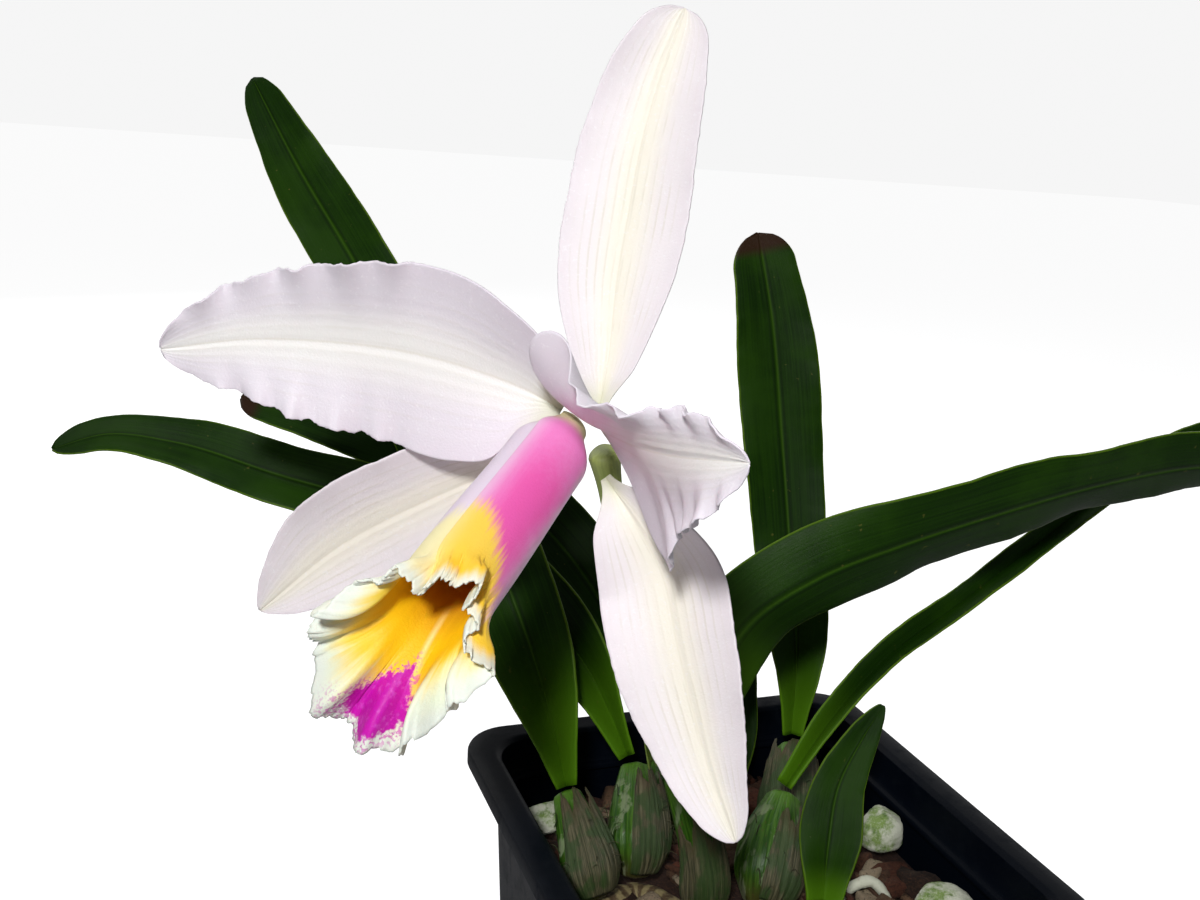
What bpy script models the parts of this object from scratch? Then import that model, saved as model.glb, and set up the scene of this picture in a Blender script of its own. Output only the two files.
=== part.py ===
"""Cattleya orchid in a square nursery pot.

Millimetres in the numbers below, metres in the meshes. The origin is the centre of the pot's
underside, +Z is up and the pot's walls run along X and Y. Blades (leaves, sepals, petals, lip) are
thin solids round one smooth surface each; stems and bulbs are tubes with a changing radius.
"""
import math

import bmesh
import bpy
import numpy as np

for old in list(bpy.data.objects):
    bpy.data.objects.remove(old, do_unlink=True)

MM = 0.001
GAP = 0.35

# pot
POT_SIDE = 120.0
POT_HEIGHT = 110.0
RIM_WIDTH = 6.5
WALL = 1.3
FLOOR = 1.6
BOTTOM_HALF = 46.2
CORNER = 13.0
STEP_Z = 100.0
# planting medium
BED_TOP = 91.0
# flower
FLOWER = np.array([-55.0, -12.0, 211.0])
LIP_AXIS = np.array([-0.659, -0.589, -0.467])
LIP_DOWN = np.array([0.36, 0.24, -0.90])
LIP_ROLL = -0.22
LIP_START = FLOWER + np.array([-6.4, -1.4, 3.2])


def unit(v):
    return v / np.linalg.norm(v, axis=-1, keepdims=True)


def smooth(x):
    x = np.clip(x, 0.0, 1.0)
    return x * x * (3 - 2 * x)


def path(points, t):
    """Cubic through the points, spaced by distance; further columns are carried along."""
    p = np.asarray(points, float)
    d = np.r_[0, np.cumsum(np.linalg.norm(np.diff(p[:, :3], axis=0), axis=1))]
    d /= d[-1]
    m = np.gradient(p, d, axis=0)
    i = np.clip(np.searchsorted(d, t, "right") - 1, 0, len(d) - 2)
    h = (d[i + 1] - d[i])[:, None]
    s = ((t - d[i])[:, None]) / h
    return ((2 * s**3 - 3 * s**2 + 1) * p[i] + (s**3 - 2 * s**2 + s) * h * m[i]
            + (3 * s**2 - 2 * s**3) * p[i + 1] + (s**3 - s**2) * h * m[i + 1])


def blade_grid(stations, face, nu, nv, fold=(0, 0), cup=(0, 0), tip=6.0, base=0.0, wave=None):
    """Surface of a leaf or petal.

    stations: x, y, z and half width along the midrib; face: the way the blade looks at its base
    and tip; fold: V angle in degrees and cup: dish depth per half width, each from base to tip;
    tip, base: length over which the end rounds off; wave(t, s): offsets across and off the face.
    """
    x = np.linspace(0, 1, nu)
    t = x + 0.25 * x * (1 - x) ** 1.0 * x
    s = np.linspace(-1, 1, nv)
    c = path(stations, t)
    mid = c[:, :3]
    length = np.linalg.norm(np.diff(mid, axis=0), axis=1).sum()
    w = np.maximum(c[:, 3], 0.3)
    end = np.clip((1 - t) * length / tip, 0, 1)
    w = w * np.sqrt(1 - (1 - end) ** 2) + 0.35
    if base:
        w = w * (0.45 + 0.55 * smooth(t * length / base))
    along = unit(np.gradient(mid, t, axis=0))
    look = np.outer(1 - t, face[0]) + np.outer(t, face[1])
    n = unit(look - np.sum(look * along, axis=1, keepdims=True) * along)
    side = np.cross(along, n)
    f = np.radians(fold[0] + (fold[1] - fold[0]) * smooth(t * 2.6))[:, None]
    k = (cup[0] + (cup[1] - cup[0]) * t)[:, None]
    S, W = s[None, :], w[:, None]
    across = S * W * np.cos(f)
    off = W * (np.sqrt(S**2 + 0.03) - 0.17) * np.sin(f) + k * W * S**2
    if wave is not None:
        da, do = wave(t[:, None], S, W, length)
        across, off = across + da, off + do
    return mid[:, None] + side[:, None] * across[..., None] + n[:, None] * off[..., None]


def shell(grid, thick):
    """Closed solid of even thickness round a grid surface, both faces split alike."""
    nu, nv = grid.shape[:2]
    du, dv = np.gradient(grid, axis=0), np.gradient(grid, axis=1)
    n = unit(np.cross(du, dv))
    verts = np.concatenate([(grid + n * thick / 2).reshape(-1, 3), (grid - n * thick / 2).reshape(-1, 3)])
    i = np.arange(nu * nv).reshape(nu, nv)
    a, b, c, d = i[:-1, :-1].ravel(), i[1:, :-1].ravel(), i[1:, 1:].ravel(), i[:-1, 1:].ravel()
    top = np.concatenate([np.c_[a, b, c], np.c_[a, c, d]])
    low = top[:, ::-1] + nu * nv
    ring = np.concatenate([i[:-1, 0], i[-1, :-1], i[:0:-1, -1], i[0, :0:-1]])
    nxt = np.roll(ring, -1)
    wall = np.concatenate([np.c_[ring, ring + nu * nv, nxt], np.c_[nxt, ring + nu * nv, nxt + nu * nv]])
    return verts, np.concatenate([top, low, wall])


def tube(stations, nu, nv, ribs=0, depth=0.0, squash=1.0, grow=0.0):
    """Round stem with closed ends; stations give x, y, z and radius, ribs run along it."""
    t = np.linspace(0, 1, nu)
    c = path(stations, t)
    mid, r = c[:, :3], np.maximum(c[:, 3], 0.2) + grow
    along = unit(np.gradient(mid, t, axis=0))
    if grow:
        mid = mid.copy()
        mid[0] -= along[0] * grow
        mid[-1] += along[-1] * grow
    ref = np.array([0.31, 0.95, 0.05]) if abs(along[0, 1]) < 0.9 else np.array([0.95, 0.1, 0.3])
    e = np.zeros_like(mid)
    for k in range(nu):
        ref = ref - along[k] * (ref @ along[k])
        ref = ref / np.linalg.norm(ref)
        e[k] = ref
    g = np.cross(along, e)
    q = np.arange(nv) * 2 * np.pi / nv
    rr = r[:, None] * (1 + depth * np.cos(ribs * q)[None])
    ring = (mid[:, None] + e[:, None] * (rr * np.cos(q))[..., None]
            + g[:, None] * (rr * squash * np.sin(q))[..., None])
    verts = np.concatenate([ring.reshape(-1, 3), mid[:1], mid[-1:]])
    i = np.arange(nu * nv).reshape(nu, nv)
    j = np.roll(i, -1, axis=1)
    a, b, c2, d = i[:-1].ravel(), j[:-1].ravel(), j[1:].ravel(), i[1:].ravel()
    first, last = nu * nv, nu * nv + 1
    faces = np.concatenate([np.c_[a, b, c2], np.c_[a, c2, d],
                            np.c_[np.full(nv, first), j[0], i[0]], np.c_[np.full(nv, last), i[-1], j[-1]]])
    return verts, faces


def stone(centre, size, turn, seed, grow=0.0):
    """Pebble: a globe stretched and dented by a few seeded planes."""
    bm = bmesh.new()
    bmesh.ops.create_icosphere(bm, subdivisions=2, radius=1.0)
    v = np.array([p.co[:] for p in bm.verts])
    f = np.array([[p.index for p in q.verts] for q in bm.faces])
    bm.free()
    rng = np.random.default_rng(seed)
    for _ in range(7):
        n = unit(rng.normal(size=3))
        h = rng.uniform(0.70, 0.88)
        over = np.clip(v @ n - h, 0, None)
        v = v - np.outer(over * 0.8, n)
    v = v * (np.array(size) + grow)
    c, s = math.cos(turn), math.sin(turn)
    v = v @ np.array([[c, s, 0], [-s, c, 0], [0, 0, 1.0]])
    return v + np.array(centre), f


def square_ring(half, corner, z, per=4, sides=1):
    """Points of a rounded square at height z, counter-clockwise."""
    out = []
    for q in range(4):
        base = q * math.pi / 2
        cx = (half - corner) * (1 if q in (0, 3) else -1)
        cy = (half - corner) * (1 if q in (0, 1) else -1)
        for k in range(per + 1):
            a = base + k * math.pi / 2 / per
            out.append((cx + corner * math.cos(a), cy + corner * math.sin(a), z))
        nx, ny = ((half - corner) * (1 if (q + 1) % 4 in (0, 3) else -1),
                  (half - corner) * (1 if (q + 1) % 4 in (0, 1) else -1))
        a = base + math.pi / 2
        p0 = np.array([cx + corner * math.cos(a), cy + corner * math.sin(a)])
        p1 = np.array([nx + corner * math.cos(a), ny + corner * math.sin(a)])
        for k in range(1, sides):
            m = p0 + (p1 - p0) * k / sides
            out.append((m[0], m[1], z))
    return np.array(out)


def stacked(rings):
    """Solid from a stack of equal rings, closed by a fan at each end."""
    rings = np.array(rings)
    nr, nv = rings.shape[:2]
    verts = np.concatenate([rings.reshape(-1, 3), rings[0].mean(0)[None], rings[-1].mean(0)[None]])
    i = np.arange(nr * nv).reshape(nr, nv)
    j = np.roll(i, -1, axis=1)
    a, b, c, d = i[:-1].ravel(), j[:-1].ravel(), j[1:].ravel(), i[1:].ravel()
    first, last = nr * nv, nr * nv + 1
    return verts, np.concatenate([np.c_[a, b, c], np.c_[a, c, d],
                                  np.c_[np.full(nv, first), j[0], i[0]],
                                  np.c_[np.full(nv, last), i[-1], j[-1]]])


def join(parts):
    verts, faces, n = [], [], 0
    for v, f in parts:
        verts.append(v)
        faces.append(f + n)
        n += len(v)
    return np.concatenate(verts), np.concatenate(faces)


def colour(name, rgb, rough, coat=0.0):
    mat = bpy.data.materials.new(name)
    mat.use_nodes = True
    b = mat.node_tree.nodes["Principled BSDF"]
    b.inputs["Base Color"].default_value = (*rgb, 1)
    b.inputs["Roughness"].default_value = rough
    b.inputs["Coat Weight"].default_value = coat
    return mat


def add(name, mesh, mat=None, helper=False):
    verts, faces = mesh
    me = bpy.data.meshes.new(name)
    me.from_pydata((np.asarray(verts) * MM).tolist(), [], np.asarray(faces).tolist())
    me.update()
    bm = bmesh.new()
    bm.from_mesh(me)
    bmesh.ops.recalc_face_normals(bm, faces=bm.faces)
    if bm.calc_volume(signed=True) < 0:
        bmesh.ops.reverse_faces(bm, faces=bm.faces)
    bm.to_mesh(me)
    bm.free()
    ob = bpy.data.objects.new(name, me)
    bpy.context.scene.collection.objects.link(ob)
    if mat:
        me.materials.append(mat)
    if helper:
        ob.hide_render = True
        ob.display_type = "WIRE"
    return ob


def cut(ob, tool, how="DIFFERENCE", own=False):
    m = ob.modifiers.new(tool.name, "BOOLEAN")
    m.operation = how
    m.solver = "EXACT"
    m.use_self = own
    m.object = tool


# pot: one moulded shell with a wide rim, a turned-down edge and an inner step
plastic = colour("pot_plastic", (0.012, 0.016, 0.022), 0.42)
top_half = POT_SIDE / 2 - RIM_WIDTH


def wall_half(z):
    return BOTTOM_HALF + (top_half - BOTTOM_HALF) * z / POT_HEIGHT


outline = [(BOTTOM_HALF - 1.2, 0.0), (BOTTOM_HALF, 1.2), (wall_half(107.6), 107.6),
           (POT_SIDE / 2 - 1.4, 107.3), (POT_SIDE / 2 - 1.3, 105.6), (POT_SIDE / 2 - 0.1, 105.5),
           (POT_SIDE / 2, 109.0), (POT_SIDE / 2 - 0.8, 109.9), (top_half + 0.5, POT_HEIGHT),
           (top_half - WALL, 109.0), (wall_half(STEP_Z + 1) - WALL, STEP_Z + 1),
           (wall_half(STEP_Z) - WALL - 1.6, STEP_Z), (wall_half(STEP_Z) - WALL - 1.7, STEP_Z - 1.4),
           (wall_half(STEP_Z - 2.6) - WALL, STEP_Z - 2.6), (wall_half(2.8) - WALL, 2.8),
           (wall_half(1.6) - WALL - 1.2, FLOOR)]
pot = add("pot", stacked([square_ring(a, CORNER - (POT_SIDE / 2 - a) * 0.35, z) for a, z in outline]), plastic)
for k, (x, y, r) in enumerate([(28, 28, 4.5), (-28, 28, 4.5), (-28, -28, 4.5), (28, -28, 4.5),
                               (30, 0, 3.5), (-30, 0, 3.5), (0, 30, 3.5), (0, -30, 3.5)]):
    hole = add(f"drain_tool_{k + 1}", tube([(x, y, -4, r), (x, y, 8, r)], 2, 12), helper=True)
    cut(pot, hole)

# rhizome, roots and pseudobulbs
rhizome_way = [(-45, -3, 83, 3.2), (-39, 3, 85.4, 4.4), (-27, 9, 85.4, 4.6), (-15, -5, 85.4, 4.6),
               (-3, -10, 85.4, 4.6), (9, 1, 85.4, 4.6), (19, 15, 85, 4.4), (29, 24, 82, 3.2)]
side_shoot_way = [(-22, 25, 82, 3.0), (-14, 28, 84.6, 4.2), (-6, 30, 85, 4.4), (4, 32, 82, 3.0)]
bulb_ways = {
    "pseudobulb_1": [(-39, 4, 92.0, 3.6), (-40, 7, 97, 6.2), (-41, 13, 104, 5.4), (-42, 21, 111, 3.4)],
    "pseudobulb_2": [(-27, 10, 92.0, 3.6), (-26, 12, 98, 6.8), (-24, 18, 105, 6.6), (-21, 27, 112, 4.0)],
    "pseudobulb_3": [(-15, -5, 91.6, 3.6), (-15, -5, 98, 5.4), (-16, -3, 108, 5.6), (-20, 2.4, 123.9, 5.0)],
    "pseudobulb_4": [(-2, -10, 92.2, 3.6), (0, -8, 97, 7.2), (4, -3, 105, 7.6), (10, 4, 113, 3.8)],
    "pseudobulb_5": [(19, 16, 91.8, 3.6), (21, 18.5, 96, 6.0), (25, 25, 103, 6.0), (29, 31.5, 109, 4.2)],
    "pseudobulb_6": [(-8, 30, 91.2, 3.6), (-8, 31, 96, 5.8), (-8, 34, 104, 5.4), (-8, 36.5, 110, 3.6)],
}
root_ways = {
    "root_1": [(3, -22, 84, 1.5), (5, -26, 92.5, 1.6), (4, -33, 95.5, 1.6), (-3, -36, 94, 1.6),
               (-8, -31, 88, 1.5), (-9, -27, 82, 1.2)],
    "root_2": [(22, -6, 84, 1.2), (25, -9, 92.5, 1.4), (29, -10.5, 94.3, 1.4), (32.5, -13, 91, 1.2),
               (33, -15.5, 84, 1.1)],
    "root_3": [(-34, -8, 84, 1.2), (-36, -14, 92, 1.4), (-43, -20, 94.5, 1.4), (-46, -27, 91, 1.3),
               (-46, -31, 84, 1.1)],
}
green_stem = colour("bulb_green", (0.10, 0.19, 0.035), 0.35, 0.2)
brown_stem = colour("rhizome_brown", (0.16, 0.11, 0.05), 0.6)
root_white = colour("root_white", (0.62, 0.60, 0.50), 0.6)
add("rhizome", tube(rhizome_way, 16, 8), brown_stem)
add("rhizome_side_shoot", tube(side_shoot_way, 8, 8), brown_stem)
for name, way in bulb_ways.items():
    add(name, tube(way, 8, 12, ribs=6, depth=0.05), green_stem)
for name, way in root_ways.items():
    add(name, tube(way, 12, 6), root_white)

# stones
stone_rows = {
    "stone_1": ((42.3, 5.5, 97.0), (7.0, 6.4, 6.6), 0.5, 3),
    "stone_2": ((41, -24, 94.5), (7.8, 6.4, 5.2), -0.3, 5),
    "stone_3": ((20, -28, 93.0), (4.2, 3.6, 3.0), 0.9, 8),
    "stone_4": ((-41, 38, 93.5), (6.4, 5.2, 4.2), 0.2, 11),
    "stone_5": ((8, 42, 93.0), (6.8, 5.2, 4.0), 1.2, 13),
}
pale_stone = colour("stone_pale", (0.55, 0.58, 0.40), 0.7)
for name, row in stone_rows.items():
    add(name, stone(*row), pale_stone)

# bark bed: the filling with chips fused to its top, each thing in it standing in its own pocket
bark = colour("bark", (0.12, 0.055, 0.03), 0.8)


def bed_half(z):
    return wall_half(z) - WALL - 0.45


rng = np.random.default_rng(21)
rows = [square_ring(wall_half(2) - WALL - 1.9, CORNER - 5.8, FLOOR + GAP, 3, 3),
        square_ring(bed_half(3.4), CORNER - 5.3, 3.4, 3, 3),
        square_ring(bed_half(BED_TOP - 4), CORNER - 3.2, BED_TOP - 4, 3, 3)]
for share, low in ((0.975, 2.6), (0.80, 1.0), (0.56, 0.4), (0.28, 0.0)):
    ring = square_ring(bed_half(BED_TOP) * share, (CORNER - 3.2) * share, BED_TOP - low, 3, 3)
    ring[:, 2] += rng.uniform(-1.3, 1.1, len(ring))
    rows.append(ring)
bed = add("bark_bed", stacked(rows), bark)


def chip(x, y, z, size, spin, tilt):
    """Flake of bark: a low block with uneven corners."""
    a, b, h = size
    v = np.array([(-a, -b, -h), (a, -b, -h), (a, b, -h), (-a, b, -h),
                  (-a, -b, h), (a, -b, h), (a, b, h), (-a, b, h)], float)
    v = v * rng.uniform(0.68, 1.0, (8, 3))
    cs, sn = math.cos(tilt), math.sin(tilt)
    v = v @ np.array([[1, 0, 0], [0, cs, sn], [0, -sn, cs]])
    cs, sn = math.cos(spin), math.sin(spin)
    v = v @ np.array([[cs, sn, 0], [-sn, cs, 0], [0, 0, 1.0]])
    f = np.array([(0, 2, 1), (0, 3, 2), (4, 5, 6), (4, 6, 7), (0, 1, 5), (0, 5, 4), (1, 2, 6), (1, 6, 5),
                  (2, 3, 7), (2, 7, 6), (3, 0, 4), (3, 4, 7)])
    v = v + np.array([x, y, z])
    v[:, :2] = np.clip(v[:, :2], -48.6, 48.6)
    return v, f


chips = [chip(45, -11, 91.5, (4.6, 4.0, 3.2), 0.5, 0.3), chip(26, -38, 92.5, (7.0, 4.5, 3.0), 1.4, -0.4),
         chip(44, 18, 91.0, (4.6, 4.2, 3.0), 0.7, 0.3), chip(-24, -26, 92.5, (8.5, 4.6, 3.0), -0.4, 0.25),
         chip(-6, -30, 92, (5.0, 3.4, 2.2), 0.9, -0.3), chip(-45, 26, 91.5, (4.5, 4.0, 2.8), 0.2, 0.3)]
in_the_way = np.concatenate([path(w, np.linspace(0, 1, 12))[:, :2] for w in root_ways.values()]
                            + [path(w, np.linspace(0, 1, 24))[:, :2] for w in (rhizome_way, side_shoot_way)]
                            + [np.array([row[0][:2]]) for row in stone_rows.values()]
                            + [np.array([w[0][:2], w[1][:2]]) for w in bulb_ways.values()])
for gx in range(-3, 4):
    for gy in range(-3, 4):
        x = gx * 13.2 + rng.uniform(-3, 3)
        y = gy * 13.2 + rng.uniform(-3, 3)
        near = np.min(np.hypot(in_the_way[:, 0] - x, in_the_way[:, 1] - y))
        if max(abs(x), abs(y)) > 43 or abs(x) + abs(y) > 72 or near < 10:
            continue
        chips.append(chip(x, y, BED_TOP + rng.uniform(-0.8, 1.2) - 1.6 * (max(abs(x), abs(y)) > 34),
                          (rng.uniform(4.6, 7.6), rng.uniform(3.2, 5.0), rng.uniform(1.6, 2.6)),
                          rng.uniform(0, 3.14), rng.uniform(-0.5, 0.5)))
tool = add("chip_tool", join(chips), helper=True)
cut(bed, tool, "UNION", own=True)
tools = [("rhizome_tool", tube(rhizome_way, 16, 8, grow=GAP + 0.7)),
         ("side_shoot_tool", tube(side_shoot_way, 8, 8, grow=GAP + 0.7))]
for name, way in bulb_ways.items():
    tools.append((name + "_tool", tube([way[0][:2] + (way[0][2] - 6, way[1][3] + 0.8)]
                                       + [p[:3] + (way[1][3] + 0.8,) for p in way[:3]], 4, 12)))
for name, way in root_ways.items():
    tools.append((name + "_tool", tube(way, 12, 6, grow=GAP + 0.5)))
for name, row in stone_rows.items():
    tools.append((name + "_tool", stone(*row, grow=GAP + 0.1)))
for name, mesh in tools:
    cut(bed, add(name, mesh, helper=True))

# leaves
CAMERA_SIDE = np.array([-0.37, -0.90, 0.22])
leaf_green = colour("leaf_green", (0.02, 0.085, 0.012), 0.32, 0.3)
leaf_rows = {
    "leaf_1": ([(-42, 21.5, 112.5, 4.2), (-45, 32, 131, 12.0), (-52, 46, 156, 12.4), (-66, 70, 189, 10.8),
                (-81.5, 98, 227, 10), (-97, 122, 256, 8.2), (-107, 136, 277, 4.2)],
               ((-0.3, -0.9, 0.4), (-0.5, -0.8, 0.35)), (58, 10), 9.0),
    "leaf_2": ([(-22.5, 28.8, 114.5, 4.0), (-30, 41, 133, 10.4), (-48, 57, 153, 11), (-75, 73, 168.5, 10),
                (-106, 80, 178, 8.4), (-131, 92, 184, 6.6), (-147, 97, 185, 4.8), (-160, 99, 181, 2.6)],
               ((-0.5, -0.75, 0.4), (-0.1, -0.75, 0.65)), (62, 16), 8.0),
    "leaf_3": ([(-8.5, 38, 112.5, 4.0), (-17, 53, 137, 11.0), (-35, 74, 163, 11.6), (-60, 91, 179, 10.8),
                (-86, 105, 186, 9.4), (-112, 116, 190, 4.5)],
               ((-0.2, -0.9, 0.4), (-0.3, -0.7, 0.65)), (58, 14), 6.0),
    "leaf_4": ([(-17, -1, 126.5, 4.8), (-16, -1, 146, 10.0), (-10, -3, 164, 11.8), (4, -7, 176, 11.6),
                (23, -10, 184, 10.8), (49, -11, 191, 10), (78, -10, 196.5, 9.6), (111, -9, 200, 9.2),
                (143, -9, 198, 7.8), (170, -10, 192, 4.6)],
               ((-0.5, -0.85, -0.1), (-0.1, -0.85, -0.45)), (-44, -12), 8.0),
    "leaf_5": ([(29.3, 34, 111.8, 4.4), (31, 39, 132, 8.6), (29.5, 48, 164, 9.8), (27, 55, 194, 11.2),
                (23, 60, 224, 10.4), (18, 64, 247, 7.4)],
               ((-0.4, -0.9, 0.2), (-0.2, -0.97, 0.1)), (56, 12), 8.0),
    "leaf_6": ([(11, 29, 96, 2.6), (13, 34, 108, 5.0), (14.5, 41, 124, 5.6), (15, 46, 138, 5.0), (14.5, 49, 150, 3.2)],
               ((-0.6, -0.7, 0.2), (-0.4, -0.9, 0.2)), (56, 24), 6.0),
    "leaf_7": ([(11, 5, 114.5, 3.8), (23, 8, 129, 5.4), (40, 12, 143, 5.0), (64, 15, 156, 4.8),
                (90, 18, 171, 4.8), (113, 20, 185, 4.8), (136, 21, 197, 4.2), (157, 22, 203, 2.6)],
               ((-0.5, -0.5, 0.7), (-0.2, -0.8, 0.5)), (62, 46), 8.0),
    "leaf_8": ([(9.5, -19, 98.5, 5.4), (12, -14.5, 111, 7.4), (16.5, -9, 122, 6.2), (23.5, -5.5, 131, 4.2),
                (30.5, -3, 139, 1.6)],
               ((-0.45, -0.85, 0.1), (-0.4, -0.7, 0.55)), (46, 18), 9.0),
}


def leaf_wave(phase):
    def wave(t, s, w, length):
        z = t * length / 46.0 * 2 * np.pi + phase
        return 0 * s * t, 0.9 * np.abs(s) ** 2 * np.sign(s) * np.sin(z) * smooth(t * 3) * smooth((1 - t) * 5)
    return wave


for k, (name, (way, look, fold, tip)) in enumerate(leaf_rows.items()):
    face = [unit(np.array(look[0])), unit(np.array(look[1]))]
    add(name, shell(blade_grid(way, face, 13 if len(way) > 5 else 9, 7, fold=fold, tip=tip,
                               wave=leaf_wave(1.7 * k)), 1.5), leaf_green)

# dried sheaths clasping the bulbs, the flower sheath and the two short sheath leaves
paper = colour("sheath_paper", (0.50, 0.42, 0.27), 0.75)


def wrap(way, start, sweep, lift, nu, nv, span=(0.0, 1.0), flare=0.0):
    """Sheath surface round a bulb from start to start + sweep radians, standing off by lift."""
    x = np.linspace(0, 1, nu)[:, None]
    q = np.linspace(-0.5, 0.5, nv)[None, :]
    top = span[1] - (span[1] - span[0]) * (0.9 * q**2 + 0.14 * np.sin(17 * q + start))
    t = np.minimum(span[0] + (top - span[0]) * x, 0.985)
    c = path(way, t.ravel())
    mid, r = c[:, :3], c[:, 3] * 1.06 + lift
    along = unit(path(way, np.clip(t.ravel() + 0.02, 0, 1)) - path(way, np.clip(t.ravel() - 0.02, 0, 1)))[:, :3]
    along = unit(along)
    e = np.tile(np.array([1.0, 0.0, 0.0]), (nu * nv, 1))
    e = unit(e - np.sum(e * along, axis=1, keepdims=True) * along)
    g = np.cross(along, e)
    ang = (start + sweep * q * (1 - 0.2 * x)).ravel()[:, None]
    rr = (r.reshape(nu, nv) + flare * x**2 * (0.6 + 0.4 * np.cos(9 * q + 2 * x))
          + 0.2 * np.sin(13 * q + 5 * x)).reshape(-1, 1)
    return (mid + e * rr * np.cos(ang) + g * rr * np.sin(ang)).reshape(nu, nv, 3)


sheath_rows = {
    "sheath_1": ("pseudobulb_1", -1.5, 2.4, 1.0, (0.05, 0.95), 0.7),
    "sheath_2": ("pseudobulb_3", -2.0, 2.2, 1.0, (0.04, 0.70), 0.6),
    "sheath_3": ("pseudobulb_4", -1.1, 2.2, 1.0, (0.10, 0.80), 0.7),
    "sheath_4": ("pseudobulb_5", -2.0, 3.2, 1.0, (0.12, 0.97), 1.2),
    "sheath_5": ("pseudobulb_2", -1.2, 1.8, 1.0, (0.08, 0.88), 0.6),
}
for name, (bulb, start, sweep, lift, span, flare) in sheath_rows.items():
    add(name, shell(wrap(bulb_ways[bulb], start, sweep, lift, 5, 9, span, flare), 0.7), paper)

# flower stalk, ovary and column
pale_green = colour("stalk_green", (0.23, 0.33, 0.08), 0.45)
stalk_way = [(-24, 6, 125, 1.9), (-27, 4, 138, 1.9), (-32, -1, 156, 1.9), (-40, -4, 174, 2.0),
             (-46, -6, 190, 2.2), (-49.5, -7.5, 202, 2.7), (-51.6, -9, 208, 3.4)]
add("flower_stalk", tube(stalk_way, 12, 9, ribs=3, depth=0.06), pale_green)
spathe_way = [(-24, 6, 124, 1.9), (-26, 4.8, 134, 2.2), (-30.2, 1.8, 150, 2.4)]
add("flower_sheath", shell(wrap(spathe_way, 0.6, 5.2, 1.1, 7, 11, (0.02, 1.0), 0.6), 0.7), pale_green)
column_way = [tuple(LIP_START + LIP_AXIS * a) + (r,)
              for a, r in ((1.0, 2.4), (5, 3.2), (14, 2.7), (24, 3.1), (29, 1.9))]
column_white = colour("column_white", (0.80, 0.72, 0.66), 0.45)
add("column", tube(column_way, 9, 10, squash=0.8), column_white)

# sepals and petals
tepal = colour("tepal_white", (0.86, 0.78, 0.84), 0.5)


def frill(edge_amp, count, slow_amp, slow, from_t, phase):
    """Ruffle that grows toward both margins: short pleats over one slow roll."""
    def wave(t, s, w, length):
        m = np.abs(s)
        live = smooth((t - from_t) * 5) * smooth((1 - t) * 6 + 0.15)
        z = t * 2 * np.pi
        quick = edge_amp * m**3.2 * np.sin(count * z + phase + 1.6 * (s > 0))
        slowly = slow_amp * m**1.8 * np.sin(slow * z + phase * 0.7 + 2.2 * (s > 0))
        return -0.12 * live * np.abs(quick) * np.sign(s), live * (quick + slowly)
    return wave


sepal_rows = {
    "sepal_dorsal": ([(-53, -8.5, 216, 3.0), (-50, -4, 226, 7.4), (-47.5, 1, 240, 11.6), (-44, 6, 255, 12.8),
                      (-40.5, 10, 270, 11.8), (-36.5, 12, 284, 9.4), (-33, 11.5, 296, 5.4)],
                     ((-0.6, -0.75, 0.2), (-0.5, -0.8, 0.1)), (0.10, 0.30), 5.0,
                     frill(0.35, 5, 1.0, 1.3, 0.25, 0.4), 9),
    "sepal_left": ([(-57.5, -6, 207, 2.6), (-69, 3.5, 201, 9.6), (-84, 12.5, 191.4, 13.4), (-99.5, 20, 180, 13.0),
                    (-115.5, 26, 163.5, 2.6)],
                   ((-0.4, -0.88, -0.2), (-0.3, -0.9, -0.25)), (0.16, 0.10), 7.0,
                   frill(0.3, 4, 1.0, 1.1, 0.3, 2.0), 9),
    "sepal_right": ([(-52, -12.5, 203.5, 2.6), (-47.5, -18, 196, 8.8), (-42.5, -23, 186, 12.8),
                     (-41, -29.5, 174, 12.8), (-39, -35.5, 162, 11.2), (-37, -42, 151, 7.8), (-34.6, -50, 141, 3.0)],
                    ((-0.7, -0.66, 0.15), (-0.62, -0.72, 0.3)), (0.12, 0.32), 6.0,
                    frill(0.35, 4, 1.1, 1.2, 0.3, 4.2), 9),
}
petal_rows = {
    "petal_left": ([(-61.5, -10, 217, 3.4), (-67, -7, 220, 13), (-76, -2, 223, 18.2), (-89, 5, 225.5, 19.4),
                    (-104, 13, 226, 16.6), (-119, 20, 225, 11.8), (-135, 24, 222, 5.0)],
                   ((-0.45, -0.86, -0.2), (-0.2, -0.95, -0.2)), (0.10, 0.16), 9.0,
                   frill(1.1, 9, 2.0, 1.7, 0.3, 0.9), 13),
    "petal_right": ([(-56.5, -19, 215.5, 2.8), (-58, -25, 216.6, 11.2), (-58.5, -34, 217.5, 15.5),
                     (-59, -46, 219, 14.6), (-58, -58, 221, 11.4), (-57, -67, 223, 8.0), (-55.5, -76, 225, 4.2)],
                    ((-0.53, -0.30, -0.75), (-0.93, -0.1, -0.1)), (0.10, 0.22), 9.0,
                    None, 13),
}


def scooped(t, s, w, length):
    """Frill of the right petal with a raised lobe on its upper edge and a scoop on its lower one."""
    across, off = frill(1.2, 8, 1.6, 1.8, 0.28, 3.9)(t, s, w, length)
    up, low = np.clip(-s, 0, 1), np.clip(s, 0, 1)
    lobe, dip = np.exp(-((t - 0.17) / 0.11) ** 2), np.exp(-((t - 0.58) / 0.17) ** 2)
    scoop = np.exp(-((t - 0.31) / 0.16) ** 2)
    skew = t - 0.17
    across = across - up**2 * ((9 - 60 * skew) * lobe - 4.0 * dip) + low**2 * 8.2 * scoop
    return across, off + low**3 * 5.0 * scoop - up**2 * (10 + 38 * skew) * lobe


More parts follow.
